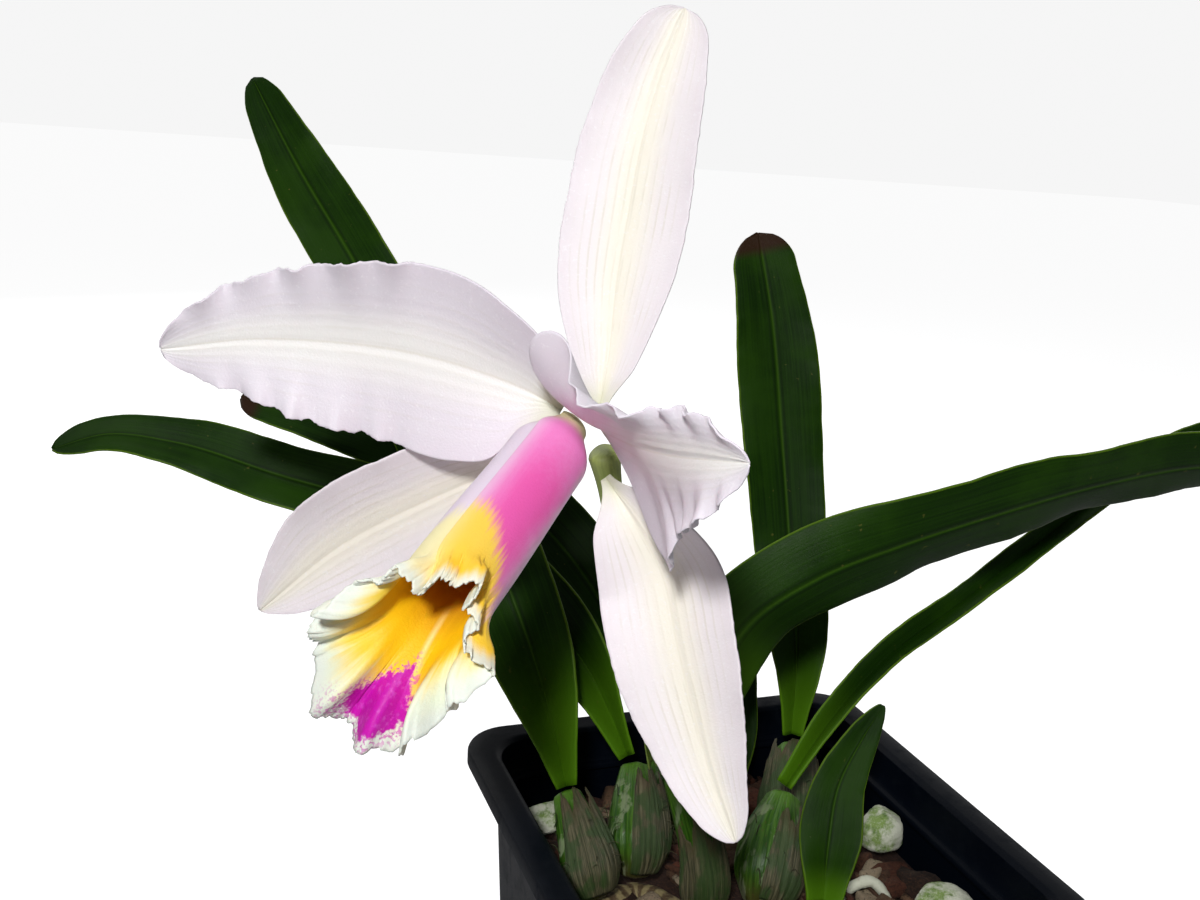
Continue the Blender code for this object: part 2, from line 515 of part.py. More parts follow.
way, look, cup, tip, _, nv = petal_rows["petal_right"]
petal_rows["petal_right"] = (way, look, cup, tip, scooped, nv)
for name, (way, look, cup, tip, wave, nv) in {**sepal_rows, **petal_rows}.items():
    face = [unit(np.array(look[0])), unit(np.array(look[1]))]
    nu = 22 if nv > 11 else 12
    add(name, shell(blade_grid(way, face, nu, nv, fold=(26, 4), cup=cup, tip=tip, base=9.0, wave=wave), 0.8), tepal)


# lip: a tube wrapped over the column that opens into a frilled trumpet
def lip_grid(nu, nv):
    """u runs from the base to the margin, v round the tube from seam to seam.

    Each lengthwise line runs along the axis for the tube's length, then turns outward; the front
    lobe is the longest and the seam side the shortest. One edge laps over the other.
    """
    axis = unit(LIP_AXIS)
    down = unit(LIP_DOWN - axis * (LIP_DOWN @ axis))
    down = math.cos(LIP_ROLL) * down + math.sin(LIP_ROLL) * np.cross(axis, down)
    left = np.cross(axis, down)
    u = np.linspace(0, 1, nu)[:, None]
    v = np.linspace(-1, 1, nv)[None, :]
    q = v * np.pi * (1.05 - 0.06 * smooth((u - 0.84) * 6))
    front = ((1 + np.cos(v * np.pi)) / 2) ** 1.2
    side = np.sin(v * np.pi)
    length = 51 + 20.5 * front - 1.7 * side**2 - 5.5 * side + 3.5 * np.exp(-((v + 0.62) / 0.07) ** 2)
    length = length - 4 * np.exp(-((v + 0.53) / 0.04) ** 2) - 4 * np.exp(-((v - 0.2) / 0.05) ** 2)
    tube_end = 45.0
    run = u * length
    turn = np.radians(9 + 26 * front + 14 * np.clip(side, 0, 1) + 46 * np.clip(-side, 0, 1))
    bend = turn * smooth((run - tube_end) / (length - tube_end + 4)) * 1.25
    step = np.diff(run, axis=0)
    mid = (bend[1:] + bend[:-1]) / 2
    far = np.concatenate([run[:1] * 0, np.cumsum(np.cos(mid) * step, axis=0)])
    out = np.concatenate([run[:1] * 0, np.cumsum(np.sin(mid) * step, axis=0)])
    radius = 3.4 + 4.2 * smooth(run / 9) + 0.7 * smooth((run - 9) / 30) + 0.7 * v
    live = smooth((run - tube_end + 5) / (length - tube_end + 2))
    lift = live**4 * np.sin(v * np.pi * 11 + 0.8) * 2.4 + live**2 * np.sin(v * np.pi * 5 + 2.0) * 1.5
    nose = (far + lift * -np.sin(bend))[..., None] * axis
    r = (radius + out + lift * np.cos(bend))[..., None]
    around = np.cos(q)[..., None] * down + np.sin(q)[..., None] * left
    return LIP_START + nose + r * around


lip_colour = colour("lip_bloom", (0.85, 0.55, 0.35), 0.5)
add("lip", shell(lip_grid(15, 49), 0.75), lip_colour)
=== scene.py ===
"""Cattleya orchid in a square nursery pot: the visible pieces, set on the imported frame.

Shapes are worked out in millimetres with the pot's underside centre as origin and +Z up, and go
into the meshes in metres. The flower looks towards -X and -Y.
"""
import math

import bpy
import numpy as np
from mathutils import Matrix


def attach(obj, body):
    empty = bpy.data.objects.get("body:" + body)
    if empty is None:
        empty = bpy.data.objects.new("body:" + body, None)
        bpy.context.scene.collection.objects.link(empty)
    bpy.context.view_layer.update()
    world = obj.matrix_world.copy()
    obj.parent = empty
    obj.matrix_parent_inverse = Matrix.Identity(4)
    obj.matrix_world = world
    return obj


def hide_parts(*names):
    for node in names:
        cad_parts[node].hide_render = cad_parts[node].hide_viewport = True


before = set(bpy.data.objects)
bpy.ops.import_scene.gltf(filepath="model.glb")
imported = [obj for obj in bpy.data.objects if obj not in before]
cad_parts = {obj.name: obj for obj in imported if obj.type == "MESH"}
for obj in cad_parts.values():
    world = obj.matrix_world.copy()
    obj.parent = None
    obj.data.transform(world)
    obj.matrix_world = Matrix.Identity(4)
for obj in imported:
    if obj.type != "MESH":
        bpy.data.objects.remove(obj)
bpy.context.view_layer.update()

# Pot. Thin bluish-black plastic, moulded in one shot: tapered walls, a wide flat rim with a
# turned-down edge, a small step inside under the rim and eight drain holes in the floor.
POT_SIDE = 120.0
POT_HEIGHT = 110.0
RIM_WIDTH = 6.5
POT_WALL = 1.3
POT_FLOOR = 1.6
POT_FOOT = 46.2
POT_CORNER = 13.0
STEP_Z = 100.0
DRAINS = [(28, 28, 4.5), (-28, 28, 4.5), (-28, -28, 4.5), (28, -28, 4.5),
          (30, 0, 3.5), (-30, 0, 3.5), (0, 30, 3.5), (0, -30, 3.5)]


def unit(v):
    """Vectors scaled to length one."""
    return v / np.maximum(np.linalg.norm(v, axis=-1, keepdims=True), 1e-9)


def ease(x):
    """Smooth step: 3x squared less 2x cubed, held at 0 and 1 outside."""
    x = np.clip(x, 0.0, 1.0)
    return x * x * (3 - 2 * x)


def wall_half(z):
    """Outer half width of the tapered wall at height z."""
    return POT_FOOT + (POT_SIDE / 2 - RIM_WIDTH - POT_FOOT) * z / POT_HEIGHT


def rounded_square(half, corner, z, per=12):
    """Ring of a rounded square: four quarter circles joined by straight sides."""
    q = np.repeat(np.arange(4), per + 1)
    a = q * np.pi / 2 + np.tile(np.arange(per + 1), 4) * np.pi / 2 / per
    cx = np.where((q == 0) | (q == 3), 1, -1) * (half - corner)
    cy = np.where(q < 2, 1, -1) * (half - corner)
    return np.c_[cx + corner * np.cos(a), cy + corner * np.sin(a), np.full(len(a), float(z))]


def quads(nu, nv, close=True):
    """Quad faces of a grid of nu rings with nv points, wrapped round when close is set."""
    i = np.arange(nu * nv).reshape(nu, nv)
    j = np.roll(i, -1, axis=1)
    if not close:
        i, j = i[:, :-1], j[:, :-1]
    return np.c_[i[:-1].ravel(), j[:-1].ravel(), j[1:].ravel(), i[1:].ravel()]


def place(name, verts, faces, node, slot, finish, uv=None, tones=None):
    """Mesh from vertex and face arrays (mm), riding on the root in place of a frame node.

    uv holds (across, along) pairs and tones one number by name, both given per vertex.
    """
    mesh = bpy.data.meshes.new(name)
    mesh.from_pydata((np.asarray(verts) * 0.001).tolist(), [], [f.tolist() for f in faces])
    mesh.update()
    if uv is not None:
        loops = np.empty(len(mesh.loops), np.int32)
        mesh.loops.foreach_get("vertex_index", loops)
        layer = mesh.uv_layers.new(name="across_along")
        layer.data.foreach_set("uv", np.asarray(uv, np.float32)[loops].ravel())
    for key, value in (tones or {}).items():
        mesh.attributes.new(key, "FLOAT", "POINT").data.foreach_set("value", np.asarray(value, np.float32))
    mesh.polygons.foreach_set("use_smooth", [True] * len(mesh.polygons))
    mesh.materials.append(finish)
    obj = bpy.data.objects.new(name, mesh)
    bpy.context.scene.collection.objects.link(obj)
    if node:
        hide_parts(*([node] if isinstance(node, str) else node))
    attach(obj, "root")
    return obj


def stack(rings):
    """Closed body from a stack of rings, with a flat cap at each end."""
    rings = np.array(rings)
    nr, nv = rings.shape[:2]
    faces = list(quads(nr, nv))
    faces += [np.arange(nv)[::-1], np.arange((nr - 1) * nv, nr * nv)]
    return rings.reshape(-1, 3), faces


class Wire:
    """A shader socket that takes part in arithmetic; each operator adds its Math node."""

    def __init__(self, paint, socket):
        self.paint, self.socket = paint, socket

    def math(self, kind, *others):
        return self.paint.node("ShaderNodeMath", {"operation": kind}, dict(enumerate((self,) + others)))

    def __add__(self, other):
        return self.math("ADD", other)

    def __sub__(self, other):
        return self.math("SUBTRACT", other)

    def __mul__(self, other):
        return self.math("MULTIPLY", other)

    def __truediv__(self, other):
        return self.math("DIVIDE", other)

    def __rsub__(self, other):
        return self.paint.node("ShaderNodeMath", {"operation": "SUBTRACT"}, {0: other, 1: self})

    __radd__, __rmul__ = __add__, __mul__


class Paint:
    """A Principled material whose nodes are written as expressions."""

    def __init__(self, name, rough=0.5, **fixed):
        self.mat = bpy.data.materials.new(name)
        self.mat.use_nodes = True
        self.tree = self.mat.node_tree
        self.shader = self.tree.nodes["Principled BSDF"]
        self.shader.inputs["Roughness"].default_value = rough
        for key, value in fixed.items():
            self.shader.inputs[key.replace("_", " ").title().replace("Ior", "IOR")].default_value = value

    def node(self, kind, settings=None, inputs=None, out=0):
        """Add a node of a kind, set it up, feed its sockets and give back one output."""
        n = self.tree.nodes.new(kind)
        for key, value in (settings or {}).items():
            if key == "stops":
                ramp = n.color_ramp
                while len(ramp.elements) < len(value):
                    ramp.elements.new(0.5)
                for e, (pos, rgb) in zip(ramp.elements, value):
                    e.position, e.color = pos, (*rgb, 1)
            else:
                setattr(n, key, value)
        for key, value in (inputs or {}).items():
            if isinstance(value, Wire):
                self.tree.links.new(value.socket, n.inputs[key])
            elif isinstance(value, tuple) and n.inputs[key].type == "RGBA":
                n.inputs[key].default_value = (*value[:3], 1)
            else:
                n.inputs[key].default_value = value
        return Wire(self, n.outputs[out])

    def place(self, stretch=(1, 1, 1)):
        """Object coordinates in metres, stretched."""
        here = self.node("ShaderNodeTexCoord", out="Object")
        return self.node("ShaderNodeMapping", None, {"Vector": here, "Scale": stretch})

    def uv(self):
        """The two numbers of the UV map: across and along."""
        return self.split(self.node("ShaderNodeUVMap", {"uv_map": "across_along"}))[:2]

    def split(self, vector):
        """The three numbers of a vector."""
        x = self.node("ShaderNodeSeparateXYZ", None, {0: vector})
        return [Wire(self, out) for out in x.socket.node.outputs]

    def strands(self, across, along, scale=1.0, detail=5, rough=0.65):
        """Noise drawn out along a piece; across and along come stretched as wanted."""
        where = self.node("ShaderNodeCombineXYZ", None, {0: across, 1: along})
        return self.noise(where, scale, detail, rough)

    def noise(self, where, scale, detail=4.0, rough=0.55):
        """Noise of about 0 to 1 at a scale in waves per metre."""
        return self.node("ShaderNodeTexNoise", None,
                         {"Vector": where, "Scale": scale, "Detail": detail, "Roughness": rough})

    def tone(self, name):
        """A number kept on the mesh's points."""
        return self.node("ShaderNodeAttribute", {"attribute_name": name}, out="Fac")

    def rise(self, x, low, high):
        """Smooth step of x from low to high."""
        return self.node("ShaderNodeMapRange", {"interpolation_type": "SMOOTHSTEP"},
                         {"Value": x, "From Min": low, "From Max": high})

    def hump(self, x, centre, width):
        """One at the centre, falling to nothing a width away."""
        return 1 - self.rise((x - centre).math("ABSOLUTE"), 0.0, width)

    def blend(self, share, a, b):
        """Colour a turning into colour b as share goes from 0 to 1."""
        return self.node("ShaderNodeMix", {"data_type": "RGBA"}, {0: share, 6: a, 7: b}, out=2)

    def bump(self, height, depth, strength=1.0):
        """Normal from a height of 0 to 1 that stands for depth in metres."""
        return self.node("ShaderNodeBump", None, {"Height": height, "Distance": depth, "Strength": strength})

    def wear(self, colour=None, rough=None, normal=None):
        """Feed the shader's varying sockets and give back the material."""
        for key, value in (("Base Color", colour), ("Roughness", rough), ("Normal", normal)):
            if isinstance(value, Wire):
                self.tree.links.new(value.socket, self.shader.inputs[key])
            elif value is not None:
                self.shader.inputs[key].default_value = (*value, 1) if key == "Base Color" else value
        return self.mat


def pot_finish():
    """Satin black plastic with fine mould grain, dust on the rim and dried water marks."""
    p = Paint("pot plastic", 0.42, specular_ior_level=0.05)
    o = p.place()
    height = p.split(o)[2]
    dust = p.rise(p.noise(o, 160, 6, 0.65), 0.50, 0.78)
    streak = p.rise(p.noise(p.place((1, 1, 0.08)), 420, 5), 0.52, 0.80) * 0.55
    scuff = p.rise(p.noise(p.place((1, 1, 6)), 260, 6, 0.7), 0.60, 0.74)
    high = p.rise(height, 0.096, 0.110)
    grime = (dust * (0.35 + 0.65 * high) + streak * 0.5).math("MINIMUM", 1.0)
    base = p.blend(grime * 0.45, (0.0012, 0.0024, 0.0052), (0.007, 0.009, 0.013))
    base = p.blend(scuff * 0.30, base, (0.013, 0.017, 0.023))
    grain = p.noise(o, 2600, 3)
    return p.wear(base, 0.36 + 0.30 * grime + 0.06 * grain, p.bump(grain, 0.00006, 0.5))


RIM_OUT, RIM_IN = POT_SIDE / 2, POT_SIDE / 2 - RIM_WIDTH
outer_wall = [(POT_FOOT - 1.2, 0.0), (POT_FOOT - 0.5, 0.2), (POT_FOOT, 1.0), (wall_half(30), 30),
              (wall_half(70), 70), (wall_half(106.6), 106.6), (wall_half(107.4) + 0.25, 107.3)]
rim = [(RIM_OUT - 1.6, 107.3), (RIM_OUT - 1.35, 107.0), (RIM_OUT - 1.3, 105.7), (RIM_OUT - 1.1, 105.5),
       (RIM_OUT - 0.2, 105.5), (RIM_OUT - 0.05, 105.7), (RIM_OUT, 108.9), (RIM_OUT - 0.25, 109.6),
       (RIM_OUT - 0.9, 109.92), (RIM_OUT - 3.2, 109.97), (RIM_IN + 0.5, 110.0), (RIM_IN - 0.5, 109.8),
       (RIM_IN - POT_WALL, 109.0)]
step = [(wall_half(STEP_Z + 1), STEP_Z + 1.2), (wall_half(STEP_Z) - 0.4, STEP_Z + 0.4),
        (wall_half(STEP_Z) - 1.4, STEP_Z), (wall_half(STEP_Z) - 1.7, STEP_Z - 0.5),
        (wall_half(STEP_Z) - 1.7, STEP_Z - 1.4), (wall_half(STEP_Z - 2.6), STEP_Z - 2.6)]
inner_wall = [(wall_half(105), 105)] + step + [(wall_half(50), 50), (wall_half(2.8), 2.8),
                                                (wall_half(1.6) - 1.2, POT_FLOOR)]
outline = outer_wall + rim + [(a - POT_WALL, z) for a, z in inner_wall]
rings = [rounded_square(a, POT_CORNER - (RIM_OUT - a) * 0.35, z) for a, z in outline]
pot_plastic = pot_finish()
pot = place("nursery_pot", *stack(rings), "pot", "pot_plastic", pot_plastic)
DRILL_SIDES = 28
turn = np.arange(DRILL_SIDES) * 2 * np.pi / DRILL_SIDES
for x, y, r in DRAINS:
    drill = [np.c_[x + r * np.cos(turn), y + r * np.sin(turn), np.full(DRILL_SIDES, z)] for z in (-4.0, 8.0)]
    verts, faces = stack(drill)
    mesh = bpy.data.meshes.new("drain")
    mesh.from_pydata((verts * 0.001).tolist(), [], [f.tolist() for f in faces])
    tool = bpy.data.objects.new("drain", mesh)
    bpy.context.scene.collection.objects.link(tool)
    cut = pot.modifiers.new("drain", "BOOLEAN")
    cut.operation, cut.solver, cut.object = "DIFFERENCE", "EXACT", tool
    with bpy.context.temp_override(object=pot, active_object=pot, selected_objects=[pot]):
        bpy.ops.object.modifier_apply(modifier=cut.name)
    bpy.data.objects.remove(tool, do_unlink=True)
pot.data.polygons.foreach_set("use_smooth", [True] * len(pot.data.polygons))
with bpy.context.temp_override(object=pot, active_object=pot, selected_objects=[pot],
                               selected_editable_objects=[pot]):
    bpy.ops.object.shade_smooth_by_angle(angle=math.radians(35))

# Bark. A packed core of dark fines fills the pot, and loose flakes of pine bark lie on and in its
# top in many sizes and reds, browns and greys. Pockets are left for the bulbs, roots and stones.
BED_TOP = 91.0
BED_REACH = 49.5
BED_CORNER = 82.0
RHIZOME_ROOM, ROOT_ROOM, BULB_ROOM = 5.5, 2.6, 8.0
FLAKE_SQUARENESS = 0.42
RHIZOME = [(-45, -3, 83, 3.2), (-39, 3, 85.4, 4.4), (-27, 9, 85.4, 4.6), (-15, -5, 85.4, 4.6),
           (-3, -10, 85.4, 4.6), (9, 1, 85.4, 4.6), (19, 15, 85, 4.4), (29, 24, 82, 3.2)]
SIDE_SHOOT = [(-22, 25, 82, 3.0), (-14, 28, 84.6, 4.2), (-6, 30, 85, 4.4), (4, 32, 82, 3.0)]
BULBS = {
    "pseudobulb_1": [(-39, 4, 92.0, 3.6), (-40, 7, 97, 6.2), (-41, 13, 104, 5.4), (-42, 21, 111, 3.4)],
    "pseudobulb_2": [(-27, 10, 92.0, 3.6), (-26, 12, 98, 6.8), (-24, 18, 105, 6.6), (-21, 27, 112, 4.0)],
    "pseudobulb_3": [(-15, -5, 91.6, 3.6), (-15, -5, 98, 5.4), (-16, -3, 108, 5.6), (-20, 2.4, 123.9, 5.0)],
    "pseudobulb_4": [(-2, -10, 92.2, 3.6), (0, -8, 97, 7.2), (4, -3, 105, 7.6), (10, 4, 113, 3.8)],
    "pseudobulb_5": [(19, 16, 91.8, 3.6), (21, 18.5, 96, 6.0), (25, 25, 103, 6.0), (29, 31.5, 109, 4.2)],
    "pseudobulb_6": [(-8, 30, 91.2, 3.6), (-8, 31, 96, 5.8), (-8, 34, 104, 5.4), (-8, 36.5, 110, 3.6)],
}
ROOTS = {
    "root_1": [(3, -22, 84, 1.5), (5, -26, 92.5, 1.6), (4, -33, 95.5, 1.6), (-3, -36, 94, 1.6),
               (-8, -31, 88, 1.5), (-9, -27, 82, 1.2)],
    "root_2": [(22, -6, 84, 1.2), (25, -9, 92.5, 1.4), (29, -10.5, 94.3, 1.4), (32.5, -13, 91, 1.2),
               (33, -15.5, 84, 1.1)],
    "root_3": [(-34, -8, 84, 1.2), (-36, -14, 92, 1.4), (-43, -20, 94.5, 1.4), (-46, -27, 91, 1.3),
               (-46, -31, 84, 1.1)],
}
STONES = {
    "stone_1": ((42.3, 5.5, 97.0), (7.0, 6.4, 6.6), 0.5, 3),
    "stone_2": ((41, -24, 94.5), (7.8, 6.4, 5.2), -0.3, 5),
    "stone_3": ((20, -28, 93.0), (4.2, 3.6, 3.0), 0.9, 8),
    "stone_4": ((-41, 38, 93.5), (6.4, 5.2, 4.2), 0.2, 11),
    "stone_5": ((8, 42, 93.0), (6.8, 5.2, 4.0), 1.2, 13),
}


def path(points, t):
    """Cubic through the points, spaced by distance; extra columns are carried along."""
    p = np.asarray(points, float)
    d = np.r_[0, np.cumsum(np.linalg.norm(np.diff(p[:, :3], axis=0), axis=1))]
    d /= d[-1]
    m = np.gradient(p, d, axis=0)
    i = np.clip(np.searchsorted(d, t, "right") - 1, 0, len(d) - 2)
    h = (d[i + 1] - d[i])[:, None]
    s = ((t - d[i])[:, None]) / h
    return ((2 * s**3 - 3 * s**2 + 1) * p[i] + (s**3 - 2 * s**2 + s) * h * m[i]
            + (3 * s**2 - 2 * s**3) * p[i + 1] + (s**3 - s**2) * h * m[i + 1])


def ripple(x, seed, count=5, octave=1.7):
    """Uneven wave: a few sines of rising pitch and seeded phase, about -1 to 1."""
    draw = np.random.default_rng(seed)
    out = 0
    for k in range(count):
        out = out + np.sin(x * octave**k * draw.uniform(0.85, 1.15) + draw.uniform(0, 6.28)) / 1.35**k
    return out / 2.2


def flakes(count, seed, size, spots, nu, nv):
    """Bark flakes: globe grids squared off by a power, dented and turned at random.

    The first ones lie at the given spots. Returns vertices, faces and a colour number per vertex.
    """
    draw = np.random.default_rng(seed)
    keep_out = np.concatenate([path(w, np.linspace(0, 1, 20))[:, :2] for w in (RHIZOME, SIDE_SHOOT)]
                              + [path(w, np.linspace(0, 1, 16))[:, :2] for w in ROOTS.values()]
                              + [path(w, np.linspace(0, 0.6, 6))[:, :2] for w in BULBS.values()])
    reach = np.r_[np.full(40, RHIZOME_ROOM), np.full(48, ROOT_ROOM), np.full(36, BULB_ROOM)]
    polar = np.linspace(0.02, np.pi - 0.02, nu)[:, None]
    round_ = np.arange(nv) * 2 * np.pi / nv

    def block(x):
        return np.sign(x) * np.abs(x) ** FLAKE_SQUARENESS
    globe = np.stack([block(np.sin(polar) * np.cos(round_)), block(np.sin(polar) * np.sin(round_)),
                      block(np.cos(polar) + 0 * round_)], -1).reshape(-1, 3)
    faces0 = list(quads(nu, nv))
    verts, faces, tone = [], [], []
    made = tries = 0
    while made < count and tries < count * 60:
        tries += 1
        x, y = draw.uniform(-47, 47, 2)
        a = draw.uniform(*size)
        b, h = a * draw.uniform(0.45, 0.8), a * draw.uniform(0.2, 0.42)
        if spots is not None and made < len(spots):
            x, y, a, b, h = spots[made]
        elif (np.min(np.hypot(keep_out[:, 0] - x, keep_out[:, 1] - y) - reach) < a * 0.55
              or max(abs(x), abs(y)) + a * 0.8 > BED_REACH or abs(x) + abs(y) > BED_CORNER
              or min(np.hypot(x - s[0][0], y - s[0][1]) - s[1][0] for s in STONES.values()) < a * 0.45):
            continue
        g = globe * np.array([a, b, h])
        for _ in range(3):
            way = draw.normal(size=3)
            dent = np.sin(globe @ way * 2.2 + draw.uniform(0, 6))[:, None]
            g = g + 0.10 * a * dent * unit(draw.normal(size=3))
        g[:, 2] += 0.05 * a * np.sin(globe[:, 0] * 9 + globe[:, 1] * 3)
        tilt, spin = draw.uniform(-0.5, 0.5), draw.uniform(0, 6.28)
        c, s = math.cos(tilt), math.sin(tilt)
        g = g @ np.array([[1, 0, 0], [0, c, s], [0, -s, c]])
        c, s = math.cos(spin), math.sin(spin)
        g = g @ np.array([[c, s, 0], [-s, c, 0], [0, 0, 1]])
        z = BED_TOP + draw.uniform(-0.8, 1.6) - 1.5 * (max(abs(x), abs(y)) > 38)
        verts.append(g + np.array([x, y, z]))
        faces += [f + made * nu * nv for f in faces0]
        faces += [np.arange(nv)[::-1] + made * nu * nv, np.arange((nu - 1) * nv, nu * nv) + made * nu * nv]
        tone.append(np.full(nu * nv, draw.uniform()))
        made += 1
    verts = np.concatenate(verts)
    verts[:, :2] = np.clip(verts[:, :2], 0.3 - BED_REACH, BED_REACH - 0.3)
    return verts, faces, np.concatenate(tone)


def bark_finish():
    """Dry bark: layered grain along each flake, reds to greys by flake, paler worn edges, near-black painted
    shade in its pits.
    """
    p = Paint("pine bark", 0.85, specular_ior_level=0.3)
    o = p.place()
    flake = p.tone("flake")
    cast = p.node("ShaderNodeValToRGB", {"stops": [
        (0.0, (0.012, 0.006, 0.004)), (0.30, (0.040, 0.013, 0.007)), (0.52, (0.095, 0.026, 0.012)),
        (0.72, (0.055, 0.026, 0.014)), (0.90, (0.13, 0.075, 0.040)), (1.0, (0.30, 0.24, 0.16))]}, {0: flake})
    layers = p.noise(p.place((0.7, 1.3, 6)), 900, 6, 0.7)
    pits = p.noise(o, 1500, 5, 0.7)
    worn = p.rise(layers * 0.6 + pits * 0.5, 0.50, 0.75)
    dusty = p.rise(p.noise(o, 240, 5), 0.55, 0.80)
    tint = p.blend(worn * 0.40, cast, (0.15, 0.072, 0.036))
    tint = p.blend(dusty * 0.22, tint, (0.20, 0.16, 0.11))
    # dark: the lowest pits of the bump go near black, painted shade in the bark's hollows
    dark = p.rise(pits, 0.30, 0.48)
    tint = p.blend(1 - dark, tint, (0.010, 0.006, 0.004))
    return p.wear(tint, 0.70 + 0.25 * layers, p.bump(layers * 0.7 + pits * 0.5, 0.0009, 0.9))


bark = bark_finish()


def bed_core():
    """Core of the filling: tapered block to the wall, whose top is a lumpy height field."""
    def half(z):
        return wall_half(z) - POT_WALL - 0.45
    rows = [rounded_square(wall_half(2) - POT_WALL - 1.9, POT_CORNER - 5.8, POT_FLOOR + 0.35),
            rounded_square(half(3.4), POT_CORNER - 5.3, 3.4),
            rounded_square(half(87), POT_CORNER - 3.2, 86.5)]
    for share in np.linspace(0.985, 0.02, 22):
        ring = rounded_square(half(BED_TOP) * share, (POT_CORNER - 3.2) * share, BED_TOP - 1.6)
        lumps = 1.1 * ripple(ring[:, 0] * 0.5, 4) * ripple(ring[:, 1] * 0.5 + 2, 9)
        ring[:, 2] += lumps - 1.6 * ease((share - 0.8) * 5)
        for way in list(BULBS.values()) + [RHIZOME, SIDE_SHOOT]:
            c = path(way, np.linspace(0, 0.4 if way[0][2] > 90 else 1, 14))
            gap = np.hypot(ring[:, None, 0] - c[None, :, 0], ring[:, None, 1] - c[None, :, 1]).min(1)
            ring[:, 2] -= 3.4 * (1 - ease((gap - 3.5) / 4.5))
        rows.append(ring)
    return stack(rows)


DARK_FINES = 0.12
verts, faces = bed_core()
place("bark_core", verts, faces, "bark_bed", "bark", bark,
      tones={"flake": np.full(len(verts), DARK_FINES)})
big_spots = [(44, -11, 5.6, 4.4, 3.0), (26, -38, 7.5, 5, 2.8), (43.5, 18, 5.2, 4.4, 2.8),
             (32.5, 1.5, 4.6, 3.6, 2.6), (-24, -26, 9.0, 4.8, 2.8), (-42.5, 26, 5.0, 4.2, 2.4),
             (27, -20, 5.2, 3.4, 2.2)]
for name, *sizes in (("bark_flakes", 120, 5, (3.4, 7.4), big_spots, 9, 14),
                     ("bark_crumbs", 330, 17, (1.0, 2.6), None, 5, 8)):
    verts, faces, tone = flakes(*sizes)
    place(name, verts, faces, None, "bark", bark, tones={"flake": tone})

# Stones. Pale limestone pebbles among the bark, dented flat in places, with a green bloom of
# algae in their hollows and grey-white worn faces.


def pebble(centre, size, turn, seed, nu=40, nv=64, flats=7):
    """Globe grid flattened by seeded planes, stretched, with fine uneven lumps."""
    polar = np.linspace(0, np.pi, nu)[:, None]
    around = np.arange(nv) * 2 * np.pi / nv
    v = np.stack([np.sin(polar) * np.cos(around), np.sin(polar) * np.sin(around),
                  np.cos(polar) + 0 * around], -1).reshape(-1, 3)
    draw = np.random.default_rng(seed)
    for _ in range(flats):
        n = unit(draw.normal(size=3))
        h = draw.uniform(0.70, 0.88)
        v = v - np.outer(np.clip(v @ n - h, 0, None) * 0.8, n)
    lump = ripple(v[:, 0] * 9, seed) + ripple(v[:, 1] * 9 + 1, seed + 1) + ripple(v[:, 2] * 9, seed + 2)
    v = v * (1 + 0.018 * lump - 0.02)[:, None] * np.array(size)
    c, s = math.cos(turn), math.sin(turn)
    v = v @ np.array([[c, s, 0], [-s, c, 0], [0, 0, 1.0]]) + np.array(centre)
    mid = quads(nu, nv)[nv:-nv]
    top = np.c_[np.zeros(nv, int), nv + np.arange(nv), nv + (np.arange(nv) + 1) % nv]
    last = (nu - 1) * nv
    low = np.c_[np.full(nv, last), last - nv + (np.arange(nv) + 1) % nv, last - nv + np.arange(nv)]
    order = np.r_[0, np.arange(nv, last), last]
    back = np.zeros(nu * nv, int)
    back[order] = np.arange(len(order))
    faces = list(back[mid][:, ::-1]) + [back[f] for f in top] + [back[f] for f in low]
    return v[order], faces


def stone_finish():
    """Limestone: chalky white over olive algae, fine pits."""
    p = Paint("mossy limestone", 0.8)
    o = p.place()
    algae = p.rise(p.noise(o, 150, 6, 0.65), 0.44, 0.60)
    deep = p.rise(p.noise(o, 420, 5, 0.6), 0.46, 0.66)
    fine = p.noise(o, 2200, 5, 0.7)
    tint = p.blend(algae, (0.60, 0.62, 0.50), (0.20, 0.30, 0.075))
    tint = p.blend(deep * algae, tint, (0.075, 0.15, 0.018))
    tint = p.blend(p.rise(fine, 0.50, 0.75) * 0.5, tint, (0.78, 0.79, 0.70))
    return p.wear(tint, 0.70 + 0.2 * fine, p.bump(fine * 0.6 + p.noise(o, 600, 4) * 0.8, 0.0006, 0.8))


pale_stone = stone_finish()
for name, row in STONES.items():
    place(name + "_pebble", *pebble(*row), name, "stone_pale", pale_stone)

# Rhizome and roots. The rhizome is a woody creeping stem ringed by old scale scars; white spongy
# roots leave it, arch over the bark and go back in.


